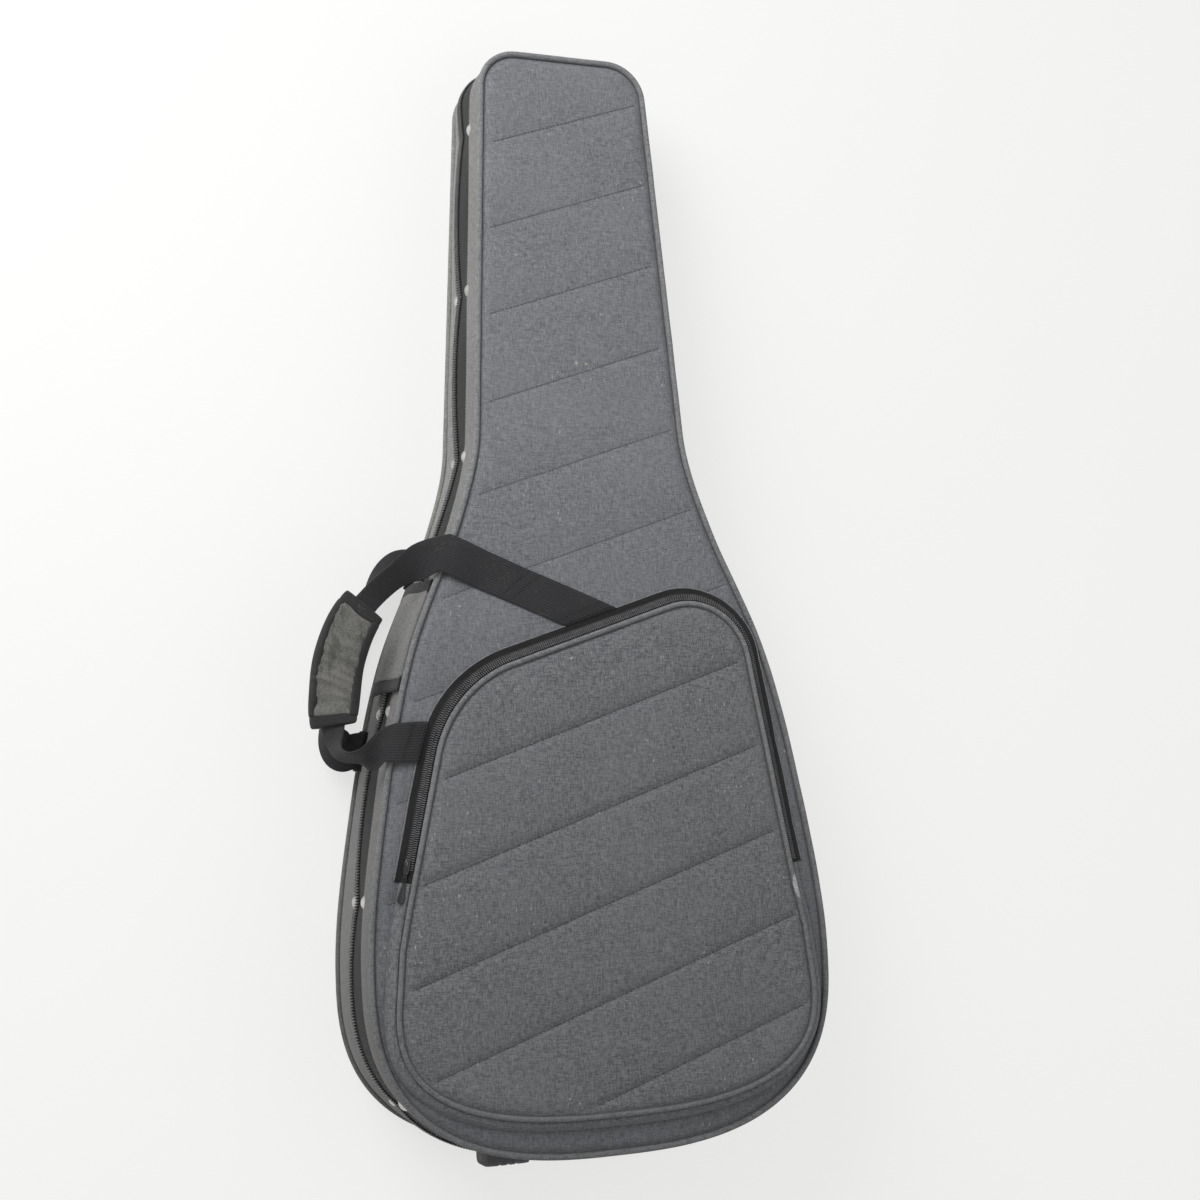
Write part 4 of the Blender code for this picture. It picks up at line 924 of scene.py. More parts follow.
def quilt_stitches(outline, set_in, quilt, height_at):
    """Threads in the grooves of a quilted panel."""
    marks = outline.round(PANEL_EDGE_STEP)
    loop = outline.at(marks) - outline.normals(marks) * set_in
    places = []
    for line in quilt_marks(quilt):
        x = np.arange(loop[:, 0].min(), loop[:, 0].max(), STITCH_PITCH / math.hypot(1, QUILT_SLOPE))
        run = np.column_stack([x, line + QUILT_SLOPE * x])
        places.append(run[inside(run, loop)])
    places = np.concatenate(places)
    spots = np.column_stack([places, height_at(places) + STITCH_LIFT])
    along = unit(np.array([1.0, QUILT_SLOPE, 0.0]))
    thread = bead(STITCH_PITCH * 0.80, STITCH_WIDTH, THREAD_SIZE, 5)
    return scatter(thread, spots, along, np.cross(UP, along), UP)


# Lid

def lid_height(points):
    return LID_TOP + quilt_height(points, LID_QUILT)


def build_lid_front():
    set_in = PIPING_RADIUS - PIPING_SET_OUT + CLEARANCE
    panel = quilted_panel(CASE, set_in, LID_QUILT, LID_TOP, LID_TOP - PANEL_THICKNESS, LID_EDGE_DROP)
    piece("lid_quilted_panel", panel, FRONT_CLOTH, "lid", ["lid_front_panel"])
    stitches = quilt_stitches(CASE, LID_STITCH_SET_IN, LID_QUILT, lid_height)
    piece("lid_quilt_thread", stitches, PALE_THREAD, "lid")
    marks = CASE.round()
    rows = carried(CASE, marks, tube_profile(PIPING_SET_OUT, LID_TOP - PIPING_DROP, PIPING_RADIUS))
    rows[..., 2] += PIPING_WAVE * ripple(CASE.at(marks), LID_WAVE_SIZE, 11)[:, None]
    piece("lid_edge_piping", skin(rows, closed=True), PIPING_CLOTH, "lid", ["lid_piping"])
    # Dark cords beside the piping: the seam line and painted shadow in its groove
    seam_shadow_cords = [carried(CASE, marks, tube_profile(out, z, SEAM_SHADOW_RADIUS, 8)) for out, z in LID_SEAM_SHADOW_CORDS]
    piece("lid_piping_seam_shadow", join([skin(seam, closed=True) for seam in seam_shadow_cords]), THREAD, "lid")


# Side bands

def under_guard(marks):
    """Where the guard flap covers the zip, from 0 to 1."""
    low, high = CASE.mark(GUARD_HIGH, -1), CASE.mark(GUARD_LOW, -1)
    return ease((marks - low) / GUARD_EASE + 1) * ease((high - marks) / GUARD_EASE + 1)


def sag(marks):
    """How slack the bands lie between the rivets of the left side, from 0 to 1."""
    pins = np.sort([CASE.mark(h, -1) for h in RIVET_HEIGHTS])
    pins = np.concatenate([[pins[0] - END_SLACK], pins, [pins[-1] + END_SLACK]])
    place = np.clip(np.searchsorted(pins, marks) - 1, 0, len(pins) - 2)
    share = np.clip((marks - pins[place]) / (pins[place + 1] - pins[place]), 0.0, 1.0)
    return np.sin(math.pi * share) ** SLACK_POWER * (1 - GUARD_HOLD * under_guard(marks))


def zip_swell(marks):
    """How far the zip is pushed out of the side between the rivets."""
    return ZIP_SWELL * sag(marks) * (1 - under_guard(marks))


def band_rows(marks, hem, far, bulge, push):
    """Rows of a padded side band from its hem to its far edge, pushed out at the hem."""
    t = np.linspace(0, 1, 11)
    hem, far, bulge, push = (np.broadcast_to(v, len(marks))[:, None] for v in (hem, far, bulge, push))
    out = BAND_OUT + bulge * np.sin(math.pi * t) ** 0.75 + push * (1 - t) ** 2
    outer = np.stack([out, hem + (far - hem) * t], axis=-1)
    ends = [np.stack([np.full_like(edge, BAND_IN), edge], axis=-1) for edge in (far, hem)]
    return carried(CASE, marks, np.concatenate([outer] + ends, axis=1))


def build_bands():
    """Side bands of lid and base between the zip and the piping, with the stitches of their hems."""
    marks = CASE.round()
    slack = sag(marks)
    top = LID_TOP - PIPING_DROP - PIPING_RADIUS + BAND_TUCK
    foot = back_z(CASE.at(marks)[:, 1]) + BACK_PIPING_LIFT + PIPING_RADIUS - BAND_TUCK
    for owner, sign, tape, far, cloth, band in (
            ("lid", 1.0, LID_TAPE_WIDTH, top, SIDE_CLOTH, LID_BAND),
            ("base", -1.0, BASE_TAPE_WIDTH, foot, BASE_CLOTH, BASE_BAND)):
        hem = sign * (tape - band.lap + band.rise * slack)
        push = band.push * zip_swell(marks)
        rows = band_rows(marks, hem, far, band.bulge + band.belly * slack, push)
        piece(owner + "_padded_band", skin(rows, closed=True), cloth, owner, [owner + "_side_band"])
        seam = np.stack([band.seam_out + push * band.seam_push, hem + sign * band.seam_up], axis=-1)
        line = carried(CASE, marks, seam[:, None])[:, 0]
        build_seam(owner + "_band_thread", line, CASE.normals(marks), owner)


def build_seam(name, line, normals, body):
    """A row of stitches along a line of points on a side of the case."""
    marks = lengths(line)
    want = np.arange(SEAM_PITCH, marks[-1], SEAM_PITCH)
    places = walked(want, marks, line)
    along = unit(walked(want + 0.001, marks, line) - places + 1e-12)
    out = walked(want, marks, normals)
    out = unit(np.column_stack([out, np.zeros(len(out))]))
    thread = bead(SEAM_PITCH * 0.75, THREAD_SIZE, THREAD_SIZE, 5)
    piece(name, scatter(thread, places, along, np.cross(out, along), out), THREAD, body)


# Back and trays

def build_back():
    """Piping and quilted panel of the flat back."""
    tube = tube_profile(BACK_PIPING_SET_OUT, BACK_PIPING_LIFT, PIPING_RADIUS)
    rows = carried(CASE, CASE.round(), tube)
    piece("back_edge_piping", skin(on_slope(rows), closed=True), BASE_CLOTH, "base", ["base_piping"])
    set_in = PIPING_RADIUS - BACK_PIPING_SET_OUT + CLEARANCE
    shape = quilted_panel(CASE, set_in, LID_QUILT, BACK_PANEL_LIFT, PANEL_THICKNESS, 0.0, -1.0)
    piece("back_quilted_panel", shape._replace(verts=on_slope(shape.verts)), FRONT_CLOTH, "base",
          ["base_back_panel"])


def tray_rows(rim, floor, sign):
    """Rows of a lined tray: round rim, soft walls and a round corner down to the floor."""
    marks = CASE.round(TRAY_STEP)
    floor = np.broadcast_to(floor(CASE.at(marks)[:, 1]), len(marks))
    depth = np.abs(floor - rim)
    corner = np.minimum(TRAY_CORNER, depth * 0.5)
    wall = -CLEARANCE - FOAM_WALL
    profile = [(-CLEARANCE - FOAM_WALL * (1 - math.cos(a)) / 2,
                rim - sign * TRAY_RIM * (1 - math.sin(a))) for a in math.pi * np.linspace(0, 1, 7)]
    profile += [(wall - TRAY_BELLY * math.sin(math.pi * t),
                 rim - sign * (TRAY_RIM + (depth - corner - TRAY_RIM) * t))
                for t in np.linspace(0.15, 0.95, 5)]
    profile += [(wall - TRAY_CORNER * (1 - math.cos(a)), floor + sign * corner * (1 - math.sin(a)))
                for a in math.pi / 2 * np.linspace(0.1, 1.0, 7)]
    rows = [np.stack(np.broadcast_arrays(out, z, depth)[:2], axis=-1) for out, z in profile]
    return marks, carried(CASE, marks, np.stack(rows, axis=1))


def lined_tray(rim, floor, outside, sign):
    """A closed tray: the lined inside, and a plain outside under the panel."""
    marks, rows = tray_rows(rim, floor, sign)
    outer = carried(CASE, marks, [(-CLEARANCE, 0.0)])
    outer[:, 0, 2] = outside(outer[:, 0, 1])
    shape = skin(np.concatenate([outer, rows], axis=1), around=False, closed=True)
    index = np.arange(len(shape.verts)).reshape(len(marks), -1)
    faces = shape.faces + [index[:, 0].tolist(), index[::-1, -1].tolist()]
    return Shape(shape.verts, faces, shape.uvs + [(0.0, 0.0)] * (2 * len(marks)))


def build_trays():
    base = lined_tray(-CLEARANCE / 2, lambda y: back_z(y) + TRAY_FLOOR,
                      lambda y: back_z(y) + PANEL_THICKNESS + CLEARANCE, 1.0)
    piece("base_plush_tray", base, PLUSH, "base", ["base_foam_shell", "base_lining"])
    lid = lined_tray(CLEARANCE / 2, lambda y: np.full(np.shape(y), LID_TOP - TRAY_FLOOR),
                     lambda y: np.full(np.shape(y), LID_TOP - PANEL_THICKNESS - CLEARANCE), -1.0)
    piece("lid_plush_tray", lid, PLUSH, "lid", ["lid_foam_shell", "lid_lining"])


# Main zip, hinge and rivets

def teeth(outline, marks, inner, outer, facing, height, wide, push=0.0):
    """Zip teeth across a line, each from (out, z) inner to (out, z) outer and standing up to a side."""
    points, normals = outline.at(marks), outline.normals(marks)
    points = points + normals * np.broadcast_to(push, len(marks))[:, None]
    level = np.ones(len(marks))
    a, b = (np.column_stack([points + normals * out, level * z]) for out, z in (inner, outer))
    along = np.column_stack([-normals[:, 1], normals[:, 0], 0 * level])
    across = unit(b - a)
    up = np.cross(along, across)
    side = np.column_stack([normals * facing[0], level * facing[1]])
    up = up * np.sign((up * side).sum(axis=1))[:, None]
    tooth = bead(math.hypot(outer[0] - inner[0], outer[1] - inner[1]), wide, height)
    return scatter(tooth, (a + b) / 2, across, along, up)


def build_main_zip():
    """Tapes that swell out between the rivets, and the teeth on them."""
    marks = CASE.run(CASE.mark(HINGE[1], 1) + CLEARANCE, CASE.mark(HINGE[0], 1) - CLEARANCE)
    flare = 1 - np.clip(np.linspace(-1 / 3, 1, 5), 0, 1) ** 1.5
    out = TAPE_THICKNESS + zip_swell(marks)[:, None] * flare
    for owner, sign, width, shift in (("lid", 1.0, LID_TAPE_WIDTH, 0.0),
                                      ("base", -1.0, BASE_TAPE_WIDTH, COIL_PITCH / 2)):
        z = np.linspace(0, sign * (width + TAPE_UNDER_BAND), 5)
        z[0] = sign * CLEARANCE / 2
        outer = np.stack(np.broadcast_arrays(out, z), axis=-1)
        inner = outer[:, ::-1] - np.array([TAPE_THICKNESS, 0.0])
        rows = carried(CASE, marks, np.concatenate([outer, inner], axis=1))
        piece(owner + "_ribbed_tape", skin(rows), ZIP_TAPE, owner, [owner + "_zip_tape"])
        spots = np.arange(marks[0] + ZIP_END + shift, marks[-1] - ZIP_END, COIL_PITCH)
        ends = [(COIL_SEAT, sign * z) for z in (-COIL_CROSSING, COIL_REACH)]
        row = teeth(CASE, spots, *ends, (1.0, 0.0), COIL_HEIGHT, COIL_PITCH * TOOTH_SHARE,
                    zip_swell(spots))
        piece(owner + "_coil_teeth", row, COIL_NYLON, owner, [owner + "_zip_coil"])


def build_hinge():
    """One strip of cloth over the right flank, from the lid's tape across to the base's."""
    marks = CASE.run(CASE.mark(HINGE[0], 1), CASE.mark(HINGE[1], 1))
    z = np.linspace(LID_TAPE_WIDTH, -BASE_TAPE_WIDTH, 15)
    bow = HINGE_BOW * np.sin(np.linspace(0, math.pi, len(z)))
    outer = np.column_stack([HINGE_THICKNESS + bow, z])
    inner = np.column_stack([np.zeros(len(z)), z[::-1]])
    shape = skin(carried(CASE, marks, np.concatenate([outer, inner])))
    x, y = CASE.at(CASE.mark(BOUT[0], 1))
    piece("hinge_cloth", shape, SIDE_CLOTH, ("base", "lid", (x, y, -HINGE_BEND), (x, y, HINGE_BEND)),
          ["base_hinge_tape", "lid_hinge_tape"])


def dome(radius, height):
    """A domed rivet cap with a thin flange, standing on Z = 0."""
    a = turns(20)
    return skin([np.stack([np.cos(a) * r * radius, np.sin(a) * r * radius, np.full(len(a), h * height)],
                          axis=-1) for r, h in RIVET_PROFILE])


def build_rivets():
    for owner, z, heights in (("lid", LID_TAPE_WIDTH + RIVET_INSET, RIVET_HEIGHTS),
                              ("base", -BASE_TAPE_WIDTH - RIVET_INSET, RIVET_HEIGHTS[:-1])):
        for number, height in enumerate(heights, 1):
            point, out = left_side(height)
            place = point + out * RIVET_SEAT + np.multiply(UP, z)
            shape = placed(dome(RIVET_RADIUS, RIVET_DOME), place, np.cross(UP, out), UP, out)
            piece(f"{owner}_rivet_cap_{number}", shape, NICKEL, owner, [f"{owner}_rivet_{number}"],
                  sharp=50)


# Pocket

def wall_z(out):
    """Height of the sloping pocket wall at a distance outside the pocket's panel."""
    top, foot = POCKET_TOP - WALL_DROP, LID_TOP + CLEARANCE
    return top + (foot - top) * (out - WALL_INNER) / (WALL_OUTER - WALL_INNER)


def sloped(out_low, out_high, lift=WALL_THICKNESS, belly=0.0, count=7):
    """Profile of a strip on the slope of the pocket wall, bellied outward."""
    outs = np.linspace(out_low, out_high, count)
    rise = belly * np.sin(np.linspace(0, math.pi, count))
    upper = np.column_stack([outs + rise * 0.7, wall_z(outs) + lift + rise * 0.7])
    lower = np.column_stack([outs[::-1], wall_z(outs[::-1])])
    return np.concatenate([upper, lower])


FOLD = along_case(FOLD_HEIGHT)
FOLD_BLEND = ("lid", "pocket_flap", (0.0, FOLD - FOLD_BEND, POCKET_TOP),
              (0.0, FOLD + FOLD_BEND, POCKET_TOP))
LEFT_FOLD = POCKET.mark(FOLD_HEIGHT, -1)
RIGHT_FOLD = POCKET.mark(FOLD_HEIGHT, 1)


def pocket_height(points):
    return POCKET_TOP + quilt_height(points, POCKET_QUILT)


def on_lid(rows, lift):
    """Rows kept at least this far above the lid's quilted face."""
    rows = rows.copy()
    rows[..., 2] = np.maximum(rows[..., 2], lid_height(rows) + lift)
    return rows


def build_pocket_panel():
    """Quilted panel and its piping, which is rubbed pale on one stretch."""
    set_in = POCKET_PIPING_RADIUS - POCKET_PIPING_SET_OUT + CLEARANCE
    panel = quilted_panel(POCKET, set_in, POCKET_QUILT, POCKET_TOP, POCKET_TOP - PANEL_THICKNESS,
                          POCKET_EDGE_DROP)
    piece("pocket_quilted_panel", panel, POCKET_CLOTH, FOLD_BLEND,
          ["pocket_lower_panel", "pocket_flap_panel"])
    stitches = quilt_stitches(POCKET, POCKET_STITCH_SET_IN, POCKET_QUILT, pocket_height)
    piece("pocket_quilt_thread", stitches, THREAD, FOLD_BLEND)
    marks = POCKET.round()
    z = POCKET_TOP - PIPING_DROP
    rows = carried(POCKET, marks, tube_profile(POCKET_PIPING_SET_OUT, z, POCKET_PIPING_RADIUS))
    rows[..., 2] += PIPING_WAVE * ripple(POCKET.at(marks), POCKET_WAVE_SIZE, 17)[:, None]
    piece("pocket_edge_piping", skin(rows, closed=True), PIPING_CLOTH, FOLD_BLEND,
          ["pocket_lower_piping", "pocket_flap_piping"])
    # Dark cord beside the piping: the seam line and painted shadow in its groove
    seam = carried(POCKET, marks, tube_profile(*POCKET_SEAM_SHADOW_CORD, 8))
    piece("pocket_piping_seam_shadow", skin(seam, closed=True), THREAD, FOLD_BLEND)
    worn = POCKET.run(RIGHT_FOLD - RUB[0], RIGHT_FOLD - RUB[1], 0.002)
    sizes = POCKET_PIPING_RADIUS * (0.8 + 0.24 * np.sin(np.linspace(0, math.pi, len(worn))) ** 0.5)
    wear = [tube_profile(POCKET_PIPING_SET_OUT + RUB_LIFT, z + RUB_LIFT, size) for size in sizes]
    piece("pocket_piping_rub", skin(carried(POCKET, worn, wear)), RUBBED_CLOTH, "lid")


def build_pocket_wall():
    """Plain cloth gusset below the ends of the zip, hemmed on the right."""
    lower = POCKET.run(LEFT_FOLD, RIGHT_FOLD)
    wall = sloped(WALL_INNER, WALL_OUTER, WALL_THICKNESS, WALL_BELLY)
    piece("pocket_wall", skin(carried(POCKET, lower, wall)), POCKET_CLOTH, "lid", ["pocket_gusset"])
    hem = POCKET.run(RIGHT_FOLD - WALL_HEM, RIGHT_FOLD, 0.001)
    fold = sloped(WALL_INNER + WALL_HEM_INSET, WALL_OUTER, WALL_THICKNESS + WALL_HEM_LIFT, WALL_BELLY)
    piece("pocket_wall_hem", skin(carried(POCKET, hem, fold)), SIDE_CLOTH, "lid")


def build_pocket_zip():
    """Outer tape with a corded edge on the lid, inner tape on the flap, and their teeth."""
    marks = POCKET.run(RIGHT_FOLD, LEFT_FOLD)
    steps = 13
    rows = carried(POCKET, marks, sloped(ZIP_LINE + CLEARANCE, WALL_OUTER + ZIP_LAP, count=steps))
    rows = np.concatenate([on_lid(rows[:, :steps], ZIP_FACE_LIFT),
                           on_lid(rows[:, steps:], ZIP_BACK_LIFT)], axis=1)
    piece("pocket_zip_outer", skin(rows), POCKET_TAPE, "lid", ["pocket_outer_tape"])
    edge = carried(POCKET, marks, tube_profile(WALL_OUTER + ZIP_LAP, LID_TOP, ZIP_EDGE_RADIUS, 8))
    edge[..., 2] += (lid_height(edge.mean(axis=1)) + ZIP_EDGE_LIFT - LID_TOP)[:, None]
    piece("pocket_zip_edge", skin(edge), PIPING_CLOTH, "lid")
    inner = carried(POCKET, marks, sloped(WALL_INNER, ZIP_LINE - CLEARANCE))
    piece("pocket_zip_inner", skin(inner), POCKET_TAPE, "pocket_flap", ["pocket_inner_tape"])
    seat = WALL_THICKNESS + POCKET_COIL_LIFT
    for side, body, sign, shift in (("outer", "lid", 1.0, 0.0),
                                    ("inner", "pocket_flap", -1.0, POCKET_COIL_PITCH / 2)):
        spots = np.arange(marks[0] + ZIP_END + shift, marks[-1] - POCKET_ZIP_END, POCKET_COIL_PITCH)
        ends = [(out, wall_z(out) + seat) for out in (ZIP_LINE - sign * POCKET_COIL_CROSSING,
                                                      ZIP_LINE + sign * POCKET_COIL_REACH)]
        row = teeth(POCKET, spots, *ends, (0.3, 1.0), POCKET_COIL_HEIGHT,
                    POCKET_COIL_PITCH * TOOTH_SHARE)
        piece("pocket_teeth_" + side, row, COIL_NYLON, body, [f"pocket_{side}_coil"])


# Sliders and pulls

def slider_body(size):
    """A plate with narrow ends and a bridge on top, standing on Z = 0 along Y."""
    half_width, half_length, height = size[0] / 2, size[1] / 2, size[2]
    plate = lump([(half_length * y, half_width * w, 0.0, height * h) for y, w, h in SLIDER_PLATE])
    a = turns(10)
    rows = []
    for t in np.linspace(0, 1, 9):
        y = np.full(len(a), half_length * (1.4 * t - 0.7))
        z = height * (0.50 + 0.36 * math.sin(math.pi * t) + 0.16 * np.sin(a))
        rows.append(np.stack([half_width * 0.34 * np.cos(a), y, z], axis=-1))
    return join([plate, skin(rows)])


def pull_tab(length, width, thickness, window=0.52):
    """A flat ring with rounded ends round an open window, lying along -Y from the origin."""
    c, s = bent(turns(36), 0.6, 0.8)
    t, ox, ix = thickness / 2, width / 2 * c, width / 2 * c * window
    oy = length / 2 * s - length / 2
    iy = length / 2 * s * (1 - (1 - window) * width / length) - length / 2
    section = ((ix, iy, -t * 0.6), (ix * 1.15, iy, -t), (ox * 0.93, oy, -t), (ox, oy, -t * 0.4),
               (ox, oy, t * 0.4), (ox * 0.93, oy, t), (ix * 1.15, iy, t), (ix, iy, t * 0.6))
    rows = [np.stack(np.broadcast_arrays(*point), axis=-1) for point in section]
    return skin(np.stack(rows, axis=1), closed=True)


def drop_tab(length, width, thickness):
    """A ring at the origin and a solid, drop-shaped tab hanging from it along -Y."""
    ring = pull_tab(length * 0.34, width * 0.62, thickness * 0.8, 0.5)
    stations = [(-length * place, width / 2 * half, -thickness / 2 * high, thickness / 2 * high)
                for place, half, high in DROP_STATIONS]
    return join([ring, lump(stations, power=2.6)])


def build_pocket_slider():
    foot = np.array([-POCKET_SIDE[1], along_case(POCKET_SIDE[0]), 0.0])
    corner = np.array([POCKET_LEFT_CORNER[0], along_case(POCKET_LEFT_CORNER[1]), 0.0])
    run = unit(corner - foot)
    inward = np.cross(run, UP)
    point = foot + run * (along_case(SLIDER_ON_CASE) - foot[1]) / run[1]
    low = wall_z(ZIP_LINE) + WALL_THICKNESS + SLIDER_LIFT + 3 * CLEARANCE
    centre = point - inward * (ZIP_LINE + CLEARANCE + SLIDER_SIZE[0] / 2) + np.multiply(UP, low)
    piece("pocket_slider_body", placed(slider_body(SLIDER_SIZE), centre, inward, run, UP), ENAMEL,
          "pocket_slider", ["pocket_slider"], sharp=45)
    root = centre - run * (SLIDER_SIZE[1] / 2 + PULL_PLAY) + np.multiply(UP, PULL_THICKNESS / 2)
    tab = placed(drop_tab(PULL_LENGTH, PULL_WIDTH, PULL_THICKNESS), root, inward, run, UP)
    piece("pocket_pull_tab", tab, ENAMEL, "pocket_pull", ["pocket_pull"], sharp=45)


def build_main_sliders():
    seat = TAPE_THICKNESS + MAIN_SLIDER_LIFT + CLEARANCE
    width, _, height = MAIN_SLIDER_SIZE
    for name, side in (("upper", 1), ("lower", -1)):
        point, out = left_side((GUARD_LOW + GUARD_HIGH) / 2 + side * MAIN_SLIDER_SPACING / 2)
        run = np.cross(out, UP)
        shape = placed(slider_body(MAIN_SLIDER_SIZE), point + out * seat, UP, run, out)
        piece(name + "_slider_body", shape, ENAMEL, name + "_slider", [name + "_slider"],
              sharp=45)
        root = point + out * (seat + height / 2) - np.multiply(UP, width / 2 + PULL_PLAY)
        tab = pull_tab(MAIN_PULL_LENGTH, MAIN_PULL_WIDTH, PULL_THICKNESS)
        piece(name + "_pull_tab", placed(tab, root, -run, UP, out), ENAMEL, name + "_pull",
              [name + "_pull"], sharp=45)


# Straps

def route_points(points, steps):
    """Even steps along a smooth curve through the points of a route."""
    points = np.asarray(points, float)
    padded = np.concatenate([[2 * points[0] - points[1]], points, [2 * points[-1] - points[-2]]])
    dense = []
    for i in range(len(points) - 1):
        p0, p1, p2, p3 = padded[i:i + 4]
        for t in np.arange(40) / 40:
            dense.append(0.5 * (2 * p1 + (p2 - p0) * t + (2 * p0 - 5 * p1 + 4 * p2 - p3) * t**2
                                + (3 * p1 - p0 - 3 * p2 + p3) * t**3))
    dense = np.array(dense + [points[-1]])
    marks = lengths(dense)
    want = np.linspace(0, marks[-1], steps + 1)
    return walked(want, marks, dense), want


def strap(route, steps, rolls, end_width, end_share):
    """Points, width directions and face directions of a strap whose ends are cut along end_width."""
    points, marks = route_points(route, steps)
    run = unit(np.gradient(points, axis=0))
    wide = unit(np.cross(run, UP))
    share = np.arange(steps + 1) / steps
    roll = np.radians(np.interp(share, *zip(*rolls)))[:, None]
    wide = wide * np.cos(roll) + np.cross(run, wide) * np.sin(roll)
    for away, k in ((share, 0), (1 - share, steps)):
        nearness = np.clip(1 - away / end_share, 0, 1)[:, None]
        aim = np.asarray(end_width) * (1 if wide[k] @ end_width > 0 else -1)
        wide = unit(wide * (1 - nearness) + aim * nearness)
    return points, wide, unit(np.cross(wide, run)), marks


def ribbon(points, wide, face, profile):
    """Rows of a profile of (across, over) points along a strap, or of one profile for each row."""
    profile = np.broadcast_to(profile, (len(points),) + np.shape(profile)[-2:])
    wide, face = (np.broadcast_to(way, points.shape)[:, None] for way in (wide, face))
    return points[:, None] + wide * profile[..., :1] + face * profile[..., 1:]


def edge_point(height, out, z):
    """A point this far outside the left edge of the case, square to it."""
    point, away = left_side(height)
    return point + away * out + np.multiply(UP, z)


def outboard(height, out, z):
    """A point this far to the left of the left edge of the case."""
    return left_side(height)[0] + (-out, 0.0, z)


STRAP_TOP = LID_TOP + PIPING_RADIUS + 2 * STRAP_PLAY
EDGE_CLEAR = PIPING_SET_OUT + PIPING_RADIUS + STRAP_PLAY
UPPER_ROOT = edge_point(UPPER_STRAP_HEIGHT, EDGE_CLEAR, STRAP_TOP)
LOWER_ROOT = edge_point(LOWER_STRAP_HEIGHT, EDGE_CLEAR, STRAP_TOP)
HANDLE_AXIS = unit(UPPER_ROOT - LOWER_ROOT)


def zip_reach(root, lead, wide, offsets):
    """How far each line along a strap runs over the lid before it meets the pocket's zip."""
    edge = POCKET.at(POCKET.round(0.002))
    reach = []
    for offset in offsets:
        gap = loop_gap(root + wide * offset + lead * LAP_LENGTHS[:, None], edge)
        reach.append(LAP_LENGTHS[np.argmax(gap < WALL_OUTER + ZIP_LAP - LAP_OVER_ZIP)])
    return np.array(reach)


def lap_rows(root, lead, sign):
    """Rows of a strap end sewn on the lid, from the pocket's zip up to the root of the handle."""
    profile = rounded(WEBBING_WIDTH, WEBBING_THICKNESS)
    axis = HANDLE_AXIS[:2] * sign
    wide = np.array([-lead[1], lead[0]])
    wide = wide * np.sign(wide @ axis)
    reach = zip_reach(root[:2], lead, wide, profile[:, 0])
    rows = []
    for share in np.linspace(0, 1, LAP_STEPS, endpoint=False):
        turn = unit(wide * (1 - ease(share)) + axis * ease(share))
        left = reach * (1 - share)
        flat = root[:2] + lead * left[:, None] + turn * profile[:, :1]
        rise = 1 - ease(left / LAP_RISE)
        bow = LAP_BOW[1] * np.sin(math.pi * np.clip(1 - left / LAP_BOW[0], 0, 1))
        z = (lid_height(flat) + LAP_LIFT) * (1 - rise) + STRAP_TOP * rise + bow + profile[:, 1]
        rows.append(np.column_stack([flat, z]))
    return np.array(rows)


def build_front_handle():
    """One strap: sewn on the lid above, looped out beside the case, and sewn on the lid below."""
    route = [UPPER_ROOT] + [outboard(*place) for place in FRONT_ROUTE] + [LOWER_ROOT]
    points, wide, face, marks = strap(route, FRONT_STEPS, FRONT_ROLLS, HANDLE_AXIS, FRONT_END)
    narrow = np.interp(np.linspace(0, 1, len(points)), *zip(*FRONT_FOLD))[:, None]
    section = rounded(WEBBING_WIDTH, WEBBING_THICKNESS)
    profile = np.stack([section[:, 0] * narrow, section[:, 1] * (2 - narrow)], axis=-1)
    loop = ribbon(points, wide, face, profile)
    inward = -left_side(UPPER_STRAP_HEIGHT)[1][:2]
    above = lap_rows(UPPER_ROOT, inward, np.sign(wide[0] @ HANDLE_AXIS))
    below = lap_rows(LOWER_ROOT, np.array([1.0, 0.0]), np.sign(wide[-1] @ HANDLE_AXIS))
    outward = np.array([-HANDLE_AXIS[1], HANDLE_AXIS[0], 0.0])
    bend = [(UPPER_ROOT + LOWER_ROOT) / 2 + outward * out for out in FRONT_BEND]
    piece("front_webbing", skin(np.concatenate([above, loop, below[::-1]])), BLACK_WEBBING,
          ("lid", "front_handle", *bend),
          ["front_anchor_upper", "front_handle_loop", "front_anchor_lower"])
    for name, rows in (("upper", above), ("lower", below)):
        build_strap_stitches(name, rows)
    build_grip((points, wide, face), marks)


def build_strap_stitches(name, rows):
    """Rows of black thread across a sewn strap end."""
    spots, across = [], []
    for row in rows[list(STRAP_STITCH_ROWS)]:
        left, right = row[np.argmax(row @ HANDLE_AXIS)], row[np.argmin(row @ HANDLE_AXIS)]
        for share in STRAP_STITCH_SHARES:
            spot = left * (1 - share) + right * share
            spots.append((spot[0], spot[1], row[:, 2].max() - STITCH_SINK))
            across.append(unit(right - left))
    across = np.array(across)
    shape = scatter(bead(*STRAP_STITCH, 5), spots, across, np.cross(UP, across), UP)
    piece(f"strap_stitches_{name}", shape, BLACK_THREAD, "lid")


